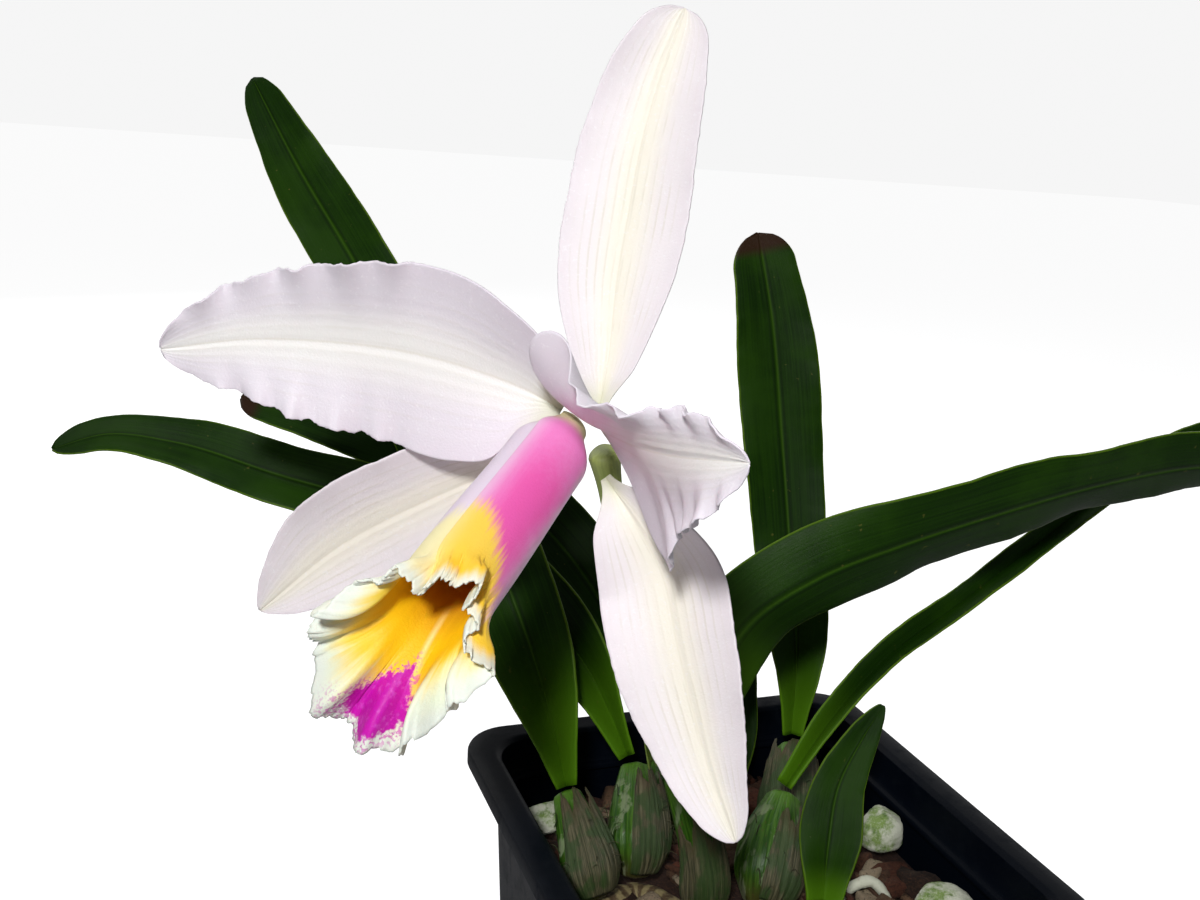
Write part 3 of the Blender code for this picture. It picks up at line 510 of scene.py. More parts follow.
def tube(stations, nu, nv, ribs=0, depth=0.0, squash=1.0, bumps=None):
    """Stem: circles of changing radius carried along a path, with lengthwise ribs.

    Returns vertices, faces, and per vertex the share along the stem and round it.
    """
    t = np.linspace(0, 1, nu)
    c = path(stations, t)
    mid, r = c[:, :3], np.maximum(c[:, 3], 0.05)
    along = unit(np.gradient(mid, t, axis=0))
    ref = np.array([0.31, 0.95, 0.05]) if abs(along[0, 1]) < 0.9 else np.array([0.95, 0.1, 0.3])
    e = np.zeros_like(mid)
    for k in range(nu):
        ref = ref - along[k] * (ref @ along[k])
        ref = ref / np.linalg.norm(ref)
        e[k] = ref
    g = np.cross(along, e)
    q = np.arange(nv) * 2 * np.pi / nv
    rr = r[:, None] * (1 + depth * np.cos(ribs * q)[None])
    if bumps is not None:
        rr = rr + bumps(t[:, None], q[None, :])
    end = np.minimum(np.arange(nu), np.arange(nu)[::-1])[:, None]
    rr = rr * np.where(end == 0, 0.72, np.where(end == 1, 0.93, 1.0))
    ring = (mid[:, None] + e[:, None] * (rr * np.cos(q))[..., None]
            + g[:, None] * (rr * squash * np.sin(q))[..., None])
    faces = list(quads(nu, nv)) + [np.arange(nv)[::-1], np.arange((nu - 1) * nv, nu * nv)]
    along_share = np.repeat(t, nv)
    round_share = np.tile(q / (2 * np.pi), nu)
    return ring.reshape(-1, 3), faces, np.c_[round_share, along_share]


def rhizome_finish():
    """Old scaly stem: tan and dark brown bands with lengthwise fibres."""
    p = Paint("rhizome skin", 0.65)
    where = p.node("ShaderNodeUVMap", {"uv_map": "across_along"})
    bands = p.node("ShaderNodeTexWave", {"bands_direction": "Y"},
                   {"Vector": where, "Scale": 9.0, "Distortion": 2.5})
    grain = p.noise(p.place(), 1300, 5, 0.65)
    tint = p.blend(p.rise(bands, 0.25, 0.8), (0.075, 0.045, 0.018), (0.24, 0.19, 0.085))
    tint = p.blend(p.rise(grain, 0.5, 0.75) * 0.6, tint, (0.32, 0.27, 0.15))
    return p.wear(tint, 0.55 + 0.3 * grain, p.bump(grain + bands * 0.5, 0.0006, 0.7))


def root_finish():
    """Velamen: chalk white with faint green under it and brown where it touches bark."""
    p = Paint("root velamen", 0.7)
    o = p.place()
    fine = p.noise(o, 1800, 5, 0.6)
    stain = p.rise(p.noise(o, 200, 5), 0.52, 0.72)
    tint = p.blend(fine * 0.6, (0.66, 0.66, 0.56), (0.42, 0.47, 0.30))
    tint = p.blend(stain * 0.7, tint, (0.24, 0.15, 0.07))
    return p.wear(tint, 0.6 + 0.2 * fine, p.bump(fine, 0.0003, 0.7))


rhizome_skin, velamen = rhizome_finish(), root_finish()


def knuckles(t, q):
    """Scars every ninth of the length, and shallow dents."""
    return 0.35 * np.abs(np.sin(t * 28)) ** 6 + 0.12 * np.sin(5 * q + 40 * t)


for name, way, nu in (("rhizome", RHIZOME, 160), ("rhizome_side_shoot", SIDE_SHOOT, 80)):
    v, f, uv = tube([(x, y, z, r - 0.2) for x, y, z, r in way], nu, 32, bumps=knuckles)
    place(name + "_stem", v, f, name, "rhizome_brown", rhizome_skin, uv=uv)
for k, (name, way) in enumerate(ROOTS.items()):
    v, f, uv = tube(way, 90, 20, bumps=lambda t, q: 0.10 * ripple(t * 30, 40 + k) + 0.05 * np.sin(3 * q))
    place(name + "_loop", v, f, name, "root_white", velamen, uv=uv)

# Pseudobulbs. Swollen green stems, ribbed as they dry, with silvery remains of skin; each stands
# on the rhizome and narrows to the foot of its leaf.


def bulb_finish():
    """Green flesh with pale ribs, silvery papery patches and brown flecks low down."""
    p = Paint("bulb skin", 0.38, specular_ior_level=0.3)
    across, along = p.uv()
    streak = p.strands(across * 26.0, along * 1.6, 2.0, 5, 0.6)
    o = p.place()
    film = p.rise(p.noise(p.place((1.4, 1.4, 0.45)), 170, 6, 0.6), 0.52, 0.60)
    tint = p.blend(p.rise(streak, 0.35, 0.7), (0.014, 0.060, 0.003), (0.060, 0.150, 0.012))
    tint = p.blend(p.rise(along, 0.72, 1.0) * 0.6, tint, (0.090, 0.210, 0.018))
    tint = p.blend((1 - p.rise(along, 0.02, 0.30)) * 0.75, tint, (0.060, 0.038, 0.014))
    tint = p.blend(film * (1 - p.rise(along, 0.7, 0.95)) * 0.55, tint, (0.26, 0.30, 0.18))
    fleck = p.rise(p.noise(o, 900, 4, 0.6), 0.62, 0.70)
    tint = p.blend(fleck * 0.6, tint, (0.085, 0.05, 0.02))
    return p.wear(tint, 0.30 + 0.30 * film + 0.1 * streak, p.bump(streak + film * 0.4, 0.0005, 0.7))


def wrinkles(t, q):
    """Fine lengthwise wrinkles, smooth at both ends of the bulb."""
    return 0.10 * np.cos(17 * q + 3 * np.sin(6 * t)) * ease(t * 4) * ease((1 - t) * 4)


bulb_skin = bulb_finish()
for name, way in BULBS.items():
    v, f, uv = tube(way, 60, 64, ribs=6, depth=0.05, bumps=wrinkles)
    place(name + "_flesh", v, f, name, "bulb_green", bulb_skin, uv=uv)

# Sheaths. Each bulb wears the dry paper of its old leaf bases: straw and silver, split along the
# fibres, with torn tips; loose fibres stand off it.


def shell(grid, thick, edge):
    """Solid round a surface: points moved half the thickness both ways along the normal.

    The thickness thins to edge at both margins; the border is closed by a narrow wall. Returns
    vertices, faces, (across, along) and 0 for one face, 1 for the other.
    """
    nu, nv = grid.shape[:2]
    n = unit(np.cross(np.gradient(grid, axis=0), np.gradient(grid, axis=1)))
    s = np.abs(np.linspace(-1, 1, nv))[None, :, None]
    t = np.linspace(0, 1, nu)[:, None, None]
    near = np.maximum(s**6, t**14)
    half = (thick + (edge - thick) * near) / 2
    verts = np.concatenate([(grid + n * half).reshape(-1, 3), (grid - n * half).reshape(-1, 3)])
    top = quads(nu, nv, False)[:, ::-1]
    i = np.arange(nu * nv).reshape(nu, nv)
    ring = np.concatenate([i[:-1, 0], i[-1, :-1], i[:0:-1, -1], i[0, :0:-1]])
    nxt = np.roll(ring, -1)
    wall = np.c_[ring, ring + nu * nv, nxt + nu * nv, nxt]
    faces = np.concatenate([top, top[:, ::-1] + nu * nv, wall])
    across = np.tile(np.linspace(0, 1, nv), nu)
    along = np.repeat(np.linspace(0, 1, nu), nv)
    uv = np.tile(np.c_[across, along], (2, 1))
    return verts, list(faces), uv, np.r_[np.zeros(nu * nv), np.ones(nu * nv)]


def wrap(way, start, sweep, lift, nu, nv, span=(0.0, 1.0), flare=0.0, torn=0.0):
    """Sheath: part of a tube round a bulb at a lift, its tip cut by q squared and uneven notches."""
    x = np.linspace(0, 1, nu)[:, None]
    q = np.linspace(-0.5, 0.5, nv)[None, :]
    top = span[1] - (span[1] - span[0]) * (0.9 * q**2 + 0.14 * np.sin(17 * q + start)
                                           + torn * np.maximum(ripple(q * 60, int(abs(start) * 100)), 0))
    t = np.minimum(span[0] + (top - span[0]) * x, 0.985)
    c = path(way, t.ravel())
    mid, r = c[:, :3], c[:, 3] * 1.06 + lift
    ahead, behind = np.clip(t.ravel() + 0.02, 0, 1), np.clip(t.ravel() - 0.02, 0, 1)
    along = unit((path(way, ahead) - path(way, behind))[:, :3])
    e = np.tile(np.array([1.0, 0.0, 0.0]), (nu * nv, 1))
    e = unit(e - np.sum(e * along, axis=1, keepdims=True) * along)
    g = np.cross(along, e)
    ang = (start + sweep * q * (1 - 0.2 * x)).ravel()[:, None]
    rr = (r.reshape(nu, nv) + flare * x**2 * (0.6 + 0.4 * np.cos(9 * q + 2 * x))
          + 0.2 * np.sin(13 * q + 5 * x) + 0.10 * np.sin(61 * q + 4 * x)).reshape(-1, 1)
    return (mid + e * rr * np.cos(ang) + g * rr * np.sin(ang)).reshape(nu, nv, 3)


def paper_finish():
    """Dry leaf-base paper: straw, silver and brown fibres, darker at the torn tips."""
    p = Paint("dry sheath paper", 0.6)
    across, along = p.uv()
    fibre = p.strands(across * 60.0, along * 2.2, 1.0, 6, 0.7)
    patch = p.noise(p.place((1, 1, 0.5)), 200, 4, 0.6)
    tint = p.blend(p.rise(fibre, 0.40, 0.66), (0.026, 0.030, 0.008), (0.17, 0.15, 0.080))
    tint = p.blend(p.rise(patch, 0.42, 0.56) * 0.80, tint, (0.022, 0.060, 0.008))
    tint = p.blend(p.rise(along, 0.70, 1.0) * 0.55, tint, (0.075, 0.040, 0.018))
    return p.wear(tint, 0.42 + 0.3 * fibre, p.bump(fibre, 0.0005, 0.9))


paper = paper_finish()
SHEATHS = {
    "sheath_1": ("pseudobulb_1", -1.5, 2.4, 1.0, (0.05, 0.95), 0.7),
    "sheath_2": ("pseudobulb_3", -2.0, 2.2, 1.0, (0.04, 0.70), 0.6),
    "sheath_3": ("pseudobulb_4", -1.1, 2.2, 1.0, (0.10, 0.80), 0.7),
    "sheath_4": ("pseudobulb_5", -2.0, 3.2, 1.0, (0.12, 0.97), 1.2),
    "sheath_5": ("pseudobulb_2", -1.2, 1.8, 1.0, (0.08, 0.88), 0.6),
}
PAPER_THICK = 0.5
for name, (bulb, start, sweep, lift, span, flare) in SHEATHS.items():
    grid = wrap(BULBS[bulb], start, sweep, lift, 40, 60, span, flare, torn=0.10)
    v, f, uv, _ = shell(grid, PAPER_THICK, 0.2)
    place(name + "_paper", v, f, name, "sheath_paper", paper, uv=uv)


def fibres(seed, bulbs, count):
    """Loose fibres: thin stems that rise from a bulb's sheath and bend out and over."""
    draw = np.random.default_rng(seed)
    verts, faces, uvs, n = [], [], [], 0
    for k in range(count):
        way = np.array(BULBS[bulbs[k % len(bulbs)]], float)
        at = path(way, np.array([draw.uniform(0.25, 0.8)]))[0]
        a = draw.uniform(-2.9, -0.2)
        out = np.array([math.cos(a), math.sin(a), 0])
        foot = at[:3] + out * (at[3] * 1.06 + 1.3)
        rise_, lean = draw.uniform(3, 11), draw.uniform(0.6, 4.5)
        side = np.array([-out[1], out[0], 0]) * draw.uniform(-2.5, 2.5)
        pts = [(*(foot + out * lean * s**2 + side * s + np.array([0, 0, rise_ * (s - 0.45 * s**3)])),
                0.16 * (1 - 0.6 * s)) for s in (0.0, 0.35, 0.7, 1.0)]
        v, f, uv = tube(pts, 9, 5)
        verts.append(v)
        faces += [q + n for q in f]
        uvs.append(uv)
        n += len(v)
    return np.concatenate(verts), faces, np.concatenate(uvs)


v, f, uv = fibres(31, ["pseudobulb_1", "pseudobulb_2", "pseudobulb_5", "pseudobulb_4"], 70)
place("sheath_fibres", v, f, None, "sheath_paper", paper, uv=uv)

# Leaves. Eight leathery straps, folded like a keel where they leave the bulb and nearly flat
# above, blunt-tipped, deep green with a sunk midrib, pale thin margins and a browned tip or two.
LEAVES = {
    "leaf_1": ([(-42, 21.5, 112.5, 4.2), (-45, 32, 131, 12.0), (-52, 46, 156, 12.4), (-66, 70, 189, 10.8),
                (-81.5, 98, 227, 10), (-97, 122, 256, 8.2), (-107, 136, 277, 4.2)],
               ((-0.3, -0.9, 0.4), (-0.5, -0.8, 0.35)), (58, 10), 9.0),
    "leaf_2": ([(-22.5, 28.8, 114.5, 4.0), (-30, 41, 133, 10.4), (-48, 57, 153, 11), (-75, 73, 168.5, 10),
                (-106, 80, 178, 8.4), (-131, 92, 184, 6.6), (-147, 97, 185, 4.8), (-160, 99, 181, 2.6)],
               ((-0.5, -0.75, 0.4), (-0.1, -0.75, 0.65)), (62, 16), 8.0),
    "leaf_3": ([(-8.5, 38, 112.5, 4.0), (-17, 53, 137, 11.0), (-35, 74, 163, 11.6), (-60, 91, 179, 10.8),
                (-86, 105, 186, 9.4), (-112, 116, 190, 4.5)],
               ((-0.2, -0.9, 0.4), (-0.3, -0.7, 0.65)), (58, 14), 6.0),
    "leaf_4": ([(-17, -1, 126.5, 4.8), (-16, -1, 146, 10.0), (-10, -3, 164, 11.8), (4, -7, 176, 11.6),
                (23, -10, 184, 10.8), (49, -11, 191, 10), (78, -10, 196.5, 9.6), (111, -9, 200, 9.2),
                (143, -9, 198, 7.8), (170, -10, 192, 4.6)],
               ((-0.5, -0.85, -0.1), (-0.1, -0.85, -0.45)), (-44, -12), 8.0),
    "leaf_5": ([(29.3, 34, 111.8, 4.4), (31, 39, 132, 8.6), (29.5, 48, 164, 9.8), (27, 55, 194, 11.2),
                (23, 60, 224, 10.4), (18, 64, 247, 7.4)],
               ((-0.4, -0.9, 0.2), (-0.2, -0.97, 0.1)), (56, 12), 8.0),
    "leaf_6": ([(11, 29, 96, 2.6), (13, 34, 108, 5.0), (14.5, 41, 124, 5.6), (15, 46, 138, 5.0),
                (14.5, 49, 150, 3.2)],
               ((-0.6, -0.7, 0.2), (-0.4, -0.9, 0.2)), (56, 24), 6.0),
    "leaf_7": ([(11, 5, 114.5, 3.8), (23, 8, 129, 5.4), (40, 12, 143, 5.0), (64, 15, 156, 4.8),
                (90, 18, 171, 4.8), (113, 20, 185, 4.8), (136, 21, 197, 4.2), (157, 22, 203, 2.6)],
               ((-0.5, -0.5, 0.7), (-0.2, -0.8, 0.5)), (62, 46), 8.0),
    "leaf_8": ([(9.5, -19, 98.5, 5.4), (12, -14.5, 111, 7.4), (16.5, -9, 122, 6.2), (23.5, -5.5, 131, 4.2),
                (30.5, -3, 139, 1.6)],
               ((-0.45, -0.85, 0.1), (-0.4, -0.7, 0.55)), (46, 18), 9.0),
}
BROWN_TIPS = ("leaf_3", "leaf_5")


def blade(stations, look, nu, nv, fold=(0, 0), cup=(0, 0), tip=6.0, base=0.0, wave=None):
    """Leaf or petal surface: a midrib path, and across it a V fold, a dish of s squared and waves.

    stations give x, y, z and half width; look is the way it faces at its base and tip; the tip
    rounds off as a quarter circle over its length. wave(t, s, w, length) adds offsets.
    """
    x = np.linspace(0, 1, nu)
    t = x + 0.25 * x * (1 - x) * x
    s = np.linspace(-1, 1, nv)
    c = path(stations, t)
    mid = c[:, :3]
    length = np.linalg.norm(np.diff(mid, axis=0), axis=1).sum()
    w = np.maximum(c[:, 3], 0.3)
    end = np.clip((1 - t) * length / tip, 0, 1)
    w = w * np.sqrt(1 - (1 - end) ** 2) + 0.35
    if base:
        w = w * (0.45 + 0.55 * ease(t * length / base))
    along = unit(np.gradient(mid, t, axis=0))
    to = np.outer(1 - t, unit(np.array(look[0]))) + np.outer(t, unit(np.array(look[1])))
    n = unit(to - np.sum(to * along, axis=1, keepdims=True) * along)
    side = np.cross(along, n)
    f = np.radians(fold[0] + (fold[1] - fold[0]) * ease(t * 2.6))[:, None]
    k = (cup[0] + (cup[1] - cup[0]) * t)[:, None]
    S, W = s[None, :], w[:, None]
    across = S * W * np.cos(f)
    off = W * (np.sqrt(S**2 + 0.03) - 0.17) * np.sin(f) + k * W * S**2
    if wave is not None:
        da, do = wave(t[:, None], S, W, length)
        across, off = across + da, off + do
    return mid[:, None] + side[:, None] * across[..., None] + n[:, None] * off[..., None]


def leaf_wave(phase):
    """Slow roll of the margins, 46 mm long, with fine unevenness along them."""
    def wave(t, s, w, length):
        z = t * length / 46.0 * 2 * np.pi + phase
        m, hand = np.abs(s), np.sign(s)
        roll = 0.9 * m**2 * hand * np.sin(z) * ease(t * 3) * ease((1 - t) * 5)
        uneven = 0.25 * m**3 * ripple(t * length / 4 + 9 * (s > 0), int(phase * 10) + 3) * ease(t * 4)
        return 0.15 * m**3 * hand * ripple(t * length / 7, int(phase * 7)), roll + uneven
    return wave


def leaf_finish(name, browned=0.0):
    """Leather green: long streaks, a cell grain, a pale midrib with painted shade in dark bands along its
    sunk groove, yellow-green foot and margin.
    """
    p = Paint(name, 0.36, specular_ior_level=0.10)
    across, along = p.uv()
    s = (across - 0.5) * 2.0
    m = s.math("ABSOLUTE")
    o = p.place()
    streak = p.strands(across * 40.0, along * 3.0)
    cloud = p.noise(o, 45, 4, 0.5)
    cell = p.strands(across * 260.0, along * 700.0, 1.0, 2, 0.5)
    tint = p.blend(p.rise(streak, 0.3, 0.75), (0.0036, 0.017, 0.0005), (0.0095, 0.036, 0.0008))
    tint = p.blend(p.rise(cloud, 0.42, 0.66) * 0.6, tint, (0.0150, 0.050, 0.0011))
    tint = p.blend(p.hump(m, 0.0, 0.055) * 0.75, tint, (0.030, 0.080, 0.003))
    # dark green bands either side of the pale midrib: painted shade along the walls of the sunk midrib groove
    tint = p.blend(p.hump(m, 0.10, 0.06) * 0.6, tint, (0.0025, 0.011, 0.0004))
    tint = p.blend(p.rise(m, 0.955, 0.995) * 0.9, tint, (0.085, 0.16, 0.008))
    foot = 1 - p.rise(along + cloud * 0.05, 0.03, 0.22)
    tint = p.blend(foot * 0.85, tint, (0.075, 0.19, 0.005))
    speck = p.rise(p.noise(o, 520, 3, 0.5), 0.70, 0.76)
    tint = p.blend(speck * 0.5, tint, (0.10, 0.10, 0.02))
    if browned:
        tip = p.rise(along + cloud * 0.03, 0.955, 0.985) * browned
        tint = p.blend(tip, tint, (0.030, 0.012, 0.006))
    groove = p.hump(m, 0.0, 0.09)
    rough = 0.30 + 0.16 * streak + 0.08 * cell
    return p.wear(tint, rough, p.bump(cell * 0.18 + streak * 0.30 + (1 - groove) * 0.8, 0.0005, 0.55))


green, green_browned = leaf_finish("leaf green"), leaf_finish("leaf green browned", 0.95)
LEAF_THICK, LEAF_EDGE = 1.35, 0.5
for k, (name, (way, look, fold, tip)) in enumerate(LEAVES.items()):
    grid = blade(way, look, 110, 33, fold=fold, tip=tip, wave=leaf_wave(1.7 * k))
    v, f, uv, _ = shell(grid, LEAF_THICK, LEAF_EDGE)
    place(name + "_blade", v, f, name, "leaf_green", green_browned if name in BROWN_TIPS else green,
          uv=uv)

# Flower stalk. A slim three-ribbed green stem in a small sheath, thickening to the ovary, which
# carries the flower; the column is the fused centre of the flower with its cap, inside the lip.
FLOWER = np.array([-55.0, -12.0, 211.0])
LIP_AXIS = np.array([-0.659, -0.589, -0.467])
LIP_DOWN = np.array([0.36, 0.24, -0.90])
LIP_ROLL = -0.22
LIP_START = FLOWER + np.array([-6.4, -1.4, 3.2])


def stalk_finish():
    """Fresh olive green with pale ribs and fine dots."""
    p = Paint("stalk green", 0.42, coat_weight=0.1, coat_roughness=0.3)
    across, along = p.uv()
    rib = p.strands(across * 16.0, along * 2.0, 1.0, 4, 0.6)
    dots = p.rise(p.noise(p.place(), 1500, 3, 0.5), 0.58, 0.68)
    tint = p.blend(p.rise(rib, 0.35, 0.7), (0.13, 0.22, 0.030), (0.34, 0.43, 0.10))
    tint = p.blend(dots * 0.4, tint, (0.10, 0.13, 0.02))
    tint = p.blend(p.rise(along, 0.85, 1.0) * 0.5, tint, (0.42, 0.44, 0.15))
    return p.wear(tint, 0.38 + 0.15 * rib, p.bump(rib, 0.0004, 0.6))


stalk_skin = stalk_finish()
stalk_way = [(-24, 6, 125, 1.9), (-27, 4, 138, 1.9), (-32, -1, 156, 1.9), (-40, -4, 174, 2.0),
             (-46, -6, 190, 2.2), (-49.5, -7.5, 202, 2.7), (-51.6, -9, 208, 3.4)]
v, f, uv = tube(stalk_way, 160, 36, ribs=3, depth=0.06)
place("flower_stalk_stem", v, f, "flower_stalk", "stalk_green", stalk_skin, uv=uv)
spathe_way = [(-24, 6, 124, 1.9), (-26, 4.8, 134, 2.2), (-30.2, 1.8, 150, 2.4)]
v, f, uv, _ = shell(wrap(spathe_way, 0.6, 5.2, 1.1, 40, 40, (0.02, 1.0), 0.6), PAPER_THICK, 0.25)
place("flower_sheath_leaf", v, f, "flower_sheath", "stalk_green", stalk_skin, uv=uv)
column_way = [tuple(LIP_START + LIP_AXIS * a) + (r,)
              for a, r in ((1.0, 2.4), (5, 3.2), (14, 2.7), (24, 3.1), (29, 1.9))]
p = Paint("column wax", 0.4, subsurface_weight=0.15)
across, along = p.uv()
tint = p.blend(p.rise(along, 0.1, 0.6), (0.42, 0.44, 0.14), (0.84, 0.74, 0.72))
tint = p.blend(p.rise(along, 0.82, 0.9), tint, (0.86, 0.80, 0.52))
v, f, uv = tube(column_way, 60, 40, squash=0.8, bumps=lambda t, q: 0.25 * ease((t - 0.8) * 8) * np.cos(2 * q))
place("column_wax", v, f, "column", "column_white", p.wear(tint, 0.4), uv=uv)

# Sepals and petals. Thin crystalline blades: three plain sepals behind two broader petals with
# fine pleats at their margins. Lilac white, cream along the midrib, with faint parallel veins.


def frill(edge_amp, count, slow_amp, slow, from_t, phase):
    """Ruffle that grows toward both margins: short pleats over one slow roll, and a fine crimp."""
    def wave(t, s, w, length):
        m = np.abs(s)
        live = ease((t - from_t) * 5) * ease((1 - t) * 6 + 0.15)
        z = t * 2 * np.pi
        wander = 0.9 * ripple(t * 9 + 3 * (s > 0), int(phase * 10) + 50)
        quick = edge_amp * m**3.2 * np.sin(count * z + phase + 1.6 * (s > 0) + wander)
        crimp = 0.34 * edge_amp * m**9 * ripple(t * length / 1.5 + 5 * (s > 0), int(phase * 10) + 60)
        slowly = slow_amp * m**1.8 * np.sin(slow * z + phase * 0.7 + 2.2 * (s > 0))
        notch = 0.35 * edge_amp * m**8 * ripple(t * length / 1.1, int(phase * 10) + 70) * np.sign(s)
        return -0.12 * live * np.abs(quick) * np.sign(s) + live * notch, live * (quick + slowly + crimp)
    return wave


def scooped(t, s, w, length):
    """Frill of the right petal with a raised lobe on its upper edge and a scoop on its lower one."""
    across, off = frill(1.2, 8, 1.6, 1.8, 0.28, 3.9)(t, s, w, length)
    up, low = np.clip(-s, 0, 1), np.clip(s, 0, 1)
    lobe, dip = np.exp(-((t - 0.17) / 0.11) ** 2), np.exp(-((t - 0.58) / 0.17) ** 2)
    scoop = np.exp(-((t - 0.31) / 0.16) ** 2)
    skew = t - 0.17
    across = across - up**2 * ((9 - 60 * skew) * lobe - 4.0 * dip) + low**2 * 8.2 * scoop
    return across, off + low**3 * 5.0 * scoop - up**2 * (10 + 38 * skew) * lobe


TEPALS = {
    "sepal_dorsal": ([(-53, -8.5, 216, 3.0), (-50, -4, 226, 7.4), (-47.5, 1, 240, 11.6), (-44, 6, 255, 12.8),
                      (-40.5, 10, 270, 11.8), (-36.5, 12, 284, 9.4), (-33, 11.5, 296, 5.4)],
                     ((-0.6, -0.75, 0.2), (-0.5, -0.8, 0.1)), (0.10, 0.30), 5.0,
                     frill(0.35, 5, 1.0, 1.3, 0.25, 0.4)),
    "sepal_left": ([(-57.5, -6, 207, 2.6), (-69, 3.5, 201, 9.6), (-84, 12.5, 191.4, 13.4),
                    (-99.5, 20, 180, 13.0), (-115.5, 26, 163.5, 2.6)],
                   ((-0.4, -0.88, -0.2), (-0.3, -0.9, -0.25)), (0.16, 0.10), 7.0,
                   frill(0.3, 4, 1.0, 1.1, 0.3, 2.0)),
    "sepal_right": ([(-52, -12.5, 203.5, 2.6), (-47.5, -18, 196, 8.8), (-42.5, -23, 186, 12.8),
                     (-41, -29.5, 174, 12.8), (-39, -35.5, 162, 11.2), (-37, -42, 151, 7.8),
                     (-34.6, -50, 141, 3.0)],
                    ((-0.7, -0.66, 0.15), (-0.62, -0.72, 0.3)), (0.12, 0.32), 6.0,
                    frill(0.35, 4, 1.1, 1.2, 0.3, 4.2)),
    "petal_left": ([(-61.5, -10, 217, 3.4), (-67, -7, 220, 13), (-76, -2, 223, 18.2), (-89, 5, 225.5, 19.4),
                    (-104, 13, 226, 16.6), (-119, 20, 225, 11.8), (-135, 24, 222, 5.0)],
                   ((-0.45, -0.86, -0.2), (-0.2, -0.95, -0.2)), (0.10, 0.16), 9.0,
                   frill(1.1, 9, 2.0, 1.7, 0.3, 0.9)),
    "petal_right": ([(-56.5, -19, 215.5, 2.8), (-58, -25, 216.6, 11.2), (-58.5, -34, 217.5, 15.5),
                     (-59, -46, 219, 14.6), (-58, -58, 221, 11.4), (-57, -67, 223, 8.0),
                     (-55.5, -76, 225, 4.2)],
                    ((-0.53, -0.30, -0.75), (-0.93, -0.1, -0.1)), (0.10, 0.22), 9.0, scooped),
}


def tepal_finish(name, lilac, cream, vein_depth):
    """Petal skin: lilac toward the margin, cream midrib, long faint veins, cell grain, and near-white flecks
    that are painted sparkle glints.
    """
    p = Paint(name, 0.50, subsurface_weight=0.10, subsurface_scale=0.002, specular_ior_level=0.35)
    p.shader.inputs["Subsurface Radius"].default_value = (1.0, 0.75, 0.8)
    across, along = p.uv()
    s = (across - 0.5) * 2.0
    m = s.math("ABSOLUTE")
    o = p.place()
    cloud = p.noise(o, 60, 4, 0.55)
    bend = (cloud - 0.5) * 0.14
    lines = ((s * (1.05 - 0.25 * along) + bend * 0.4) * 46.0).math("SINE")
    vein = p.rise(lines, 0.55, 0.98) * (1 - p.rise(m, 0.55, 0.98)) * p.rise(p.noise(o, 90, 3), 0.35, 0.65)
    cell = p.noise(o, 2300, 3, 0.6)
    # fleck marks near-white specks painted into the colour as the sparkle glints of the crystalline skin:
    # painted highlight
    fleck = p.rise(p.noise(o, 1350, 2, 0.5), 0.60, 0.72)
    middle = 1 - p.rise(m + bend, 0.05, 0.62)
    tint = p.blend(middle, lilac, cream)
    tint = p.blend(p.rise(m + bend * 1.4, 0.60, 1.05) * 0.28, tint, (0.72, 0.62, 0.73))
    tint = p.blend(vein * vein_depth, tint, (0.60, 0.55, 0.42))
    tint = p.blend(p.hump(m, 0.0, 0.03) * 0.25, tint, (0.66, 0.60, 0.44))
    # painted highlight: the sparkle glints laid on as near-white flecks
    tint = p.blend(fleck * 0.30, tint, (0.95, 0.93, 0.96))
    tint = p.blend((1 - p.rise(along, 0.0, 0.10)) * 0.6, tint, (0.66, 0.68, 0.42))
    keel = p.hump(m, 0.0, 0.12)
    return p.wear(tint, 0.40 + 0.2 * cell,
                  p.bump(cell * 0.35 + lines * 0.10 * (1 - m) + (1 - keel) * 0.7, 0.0005, 0.5))


sepal_skin = tepal_finish("sepal skin", (0.86, 0.80, 0.82), (0.90, 0.85, 0.74), 0.30)
petal_skin = tepal_finish("petal skin", (0.80, 0.75, 0.81), (0.92, 0.90, 0.87), 0.10)
TEPAL_THICK, TEPAL_EDGE = 0.75, 0.32
for name, (way, look, cup, tip, wave) in TEPALS.items():
    petal = name.startswith("petal")
    grid = blade(way, look, 180 if petal else 120, 101 if petal else 61, fold=(26, 4), cup=cup, tip=tip,
                 base=9.0, wave=wave)
    v, f, uv, _ = shell(grid, TEPAL_THICK, TEPAL_EDGE)
    place(name + "_skin", v, f, name, "tepal_white", petal_skin if petal else sepal_skin,
          uv=uv)

# Lip. The third petal, rolled round the column into a tube with one margin lapped over the other,
# and opening into a trumpet whose margin is deeply frilled. Pink tube, yellow throat, pale frill
# and one magenta blotch on the front lobe.


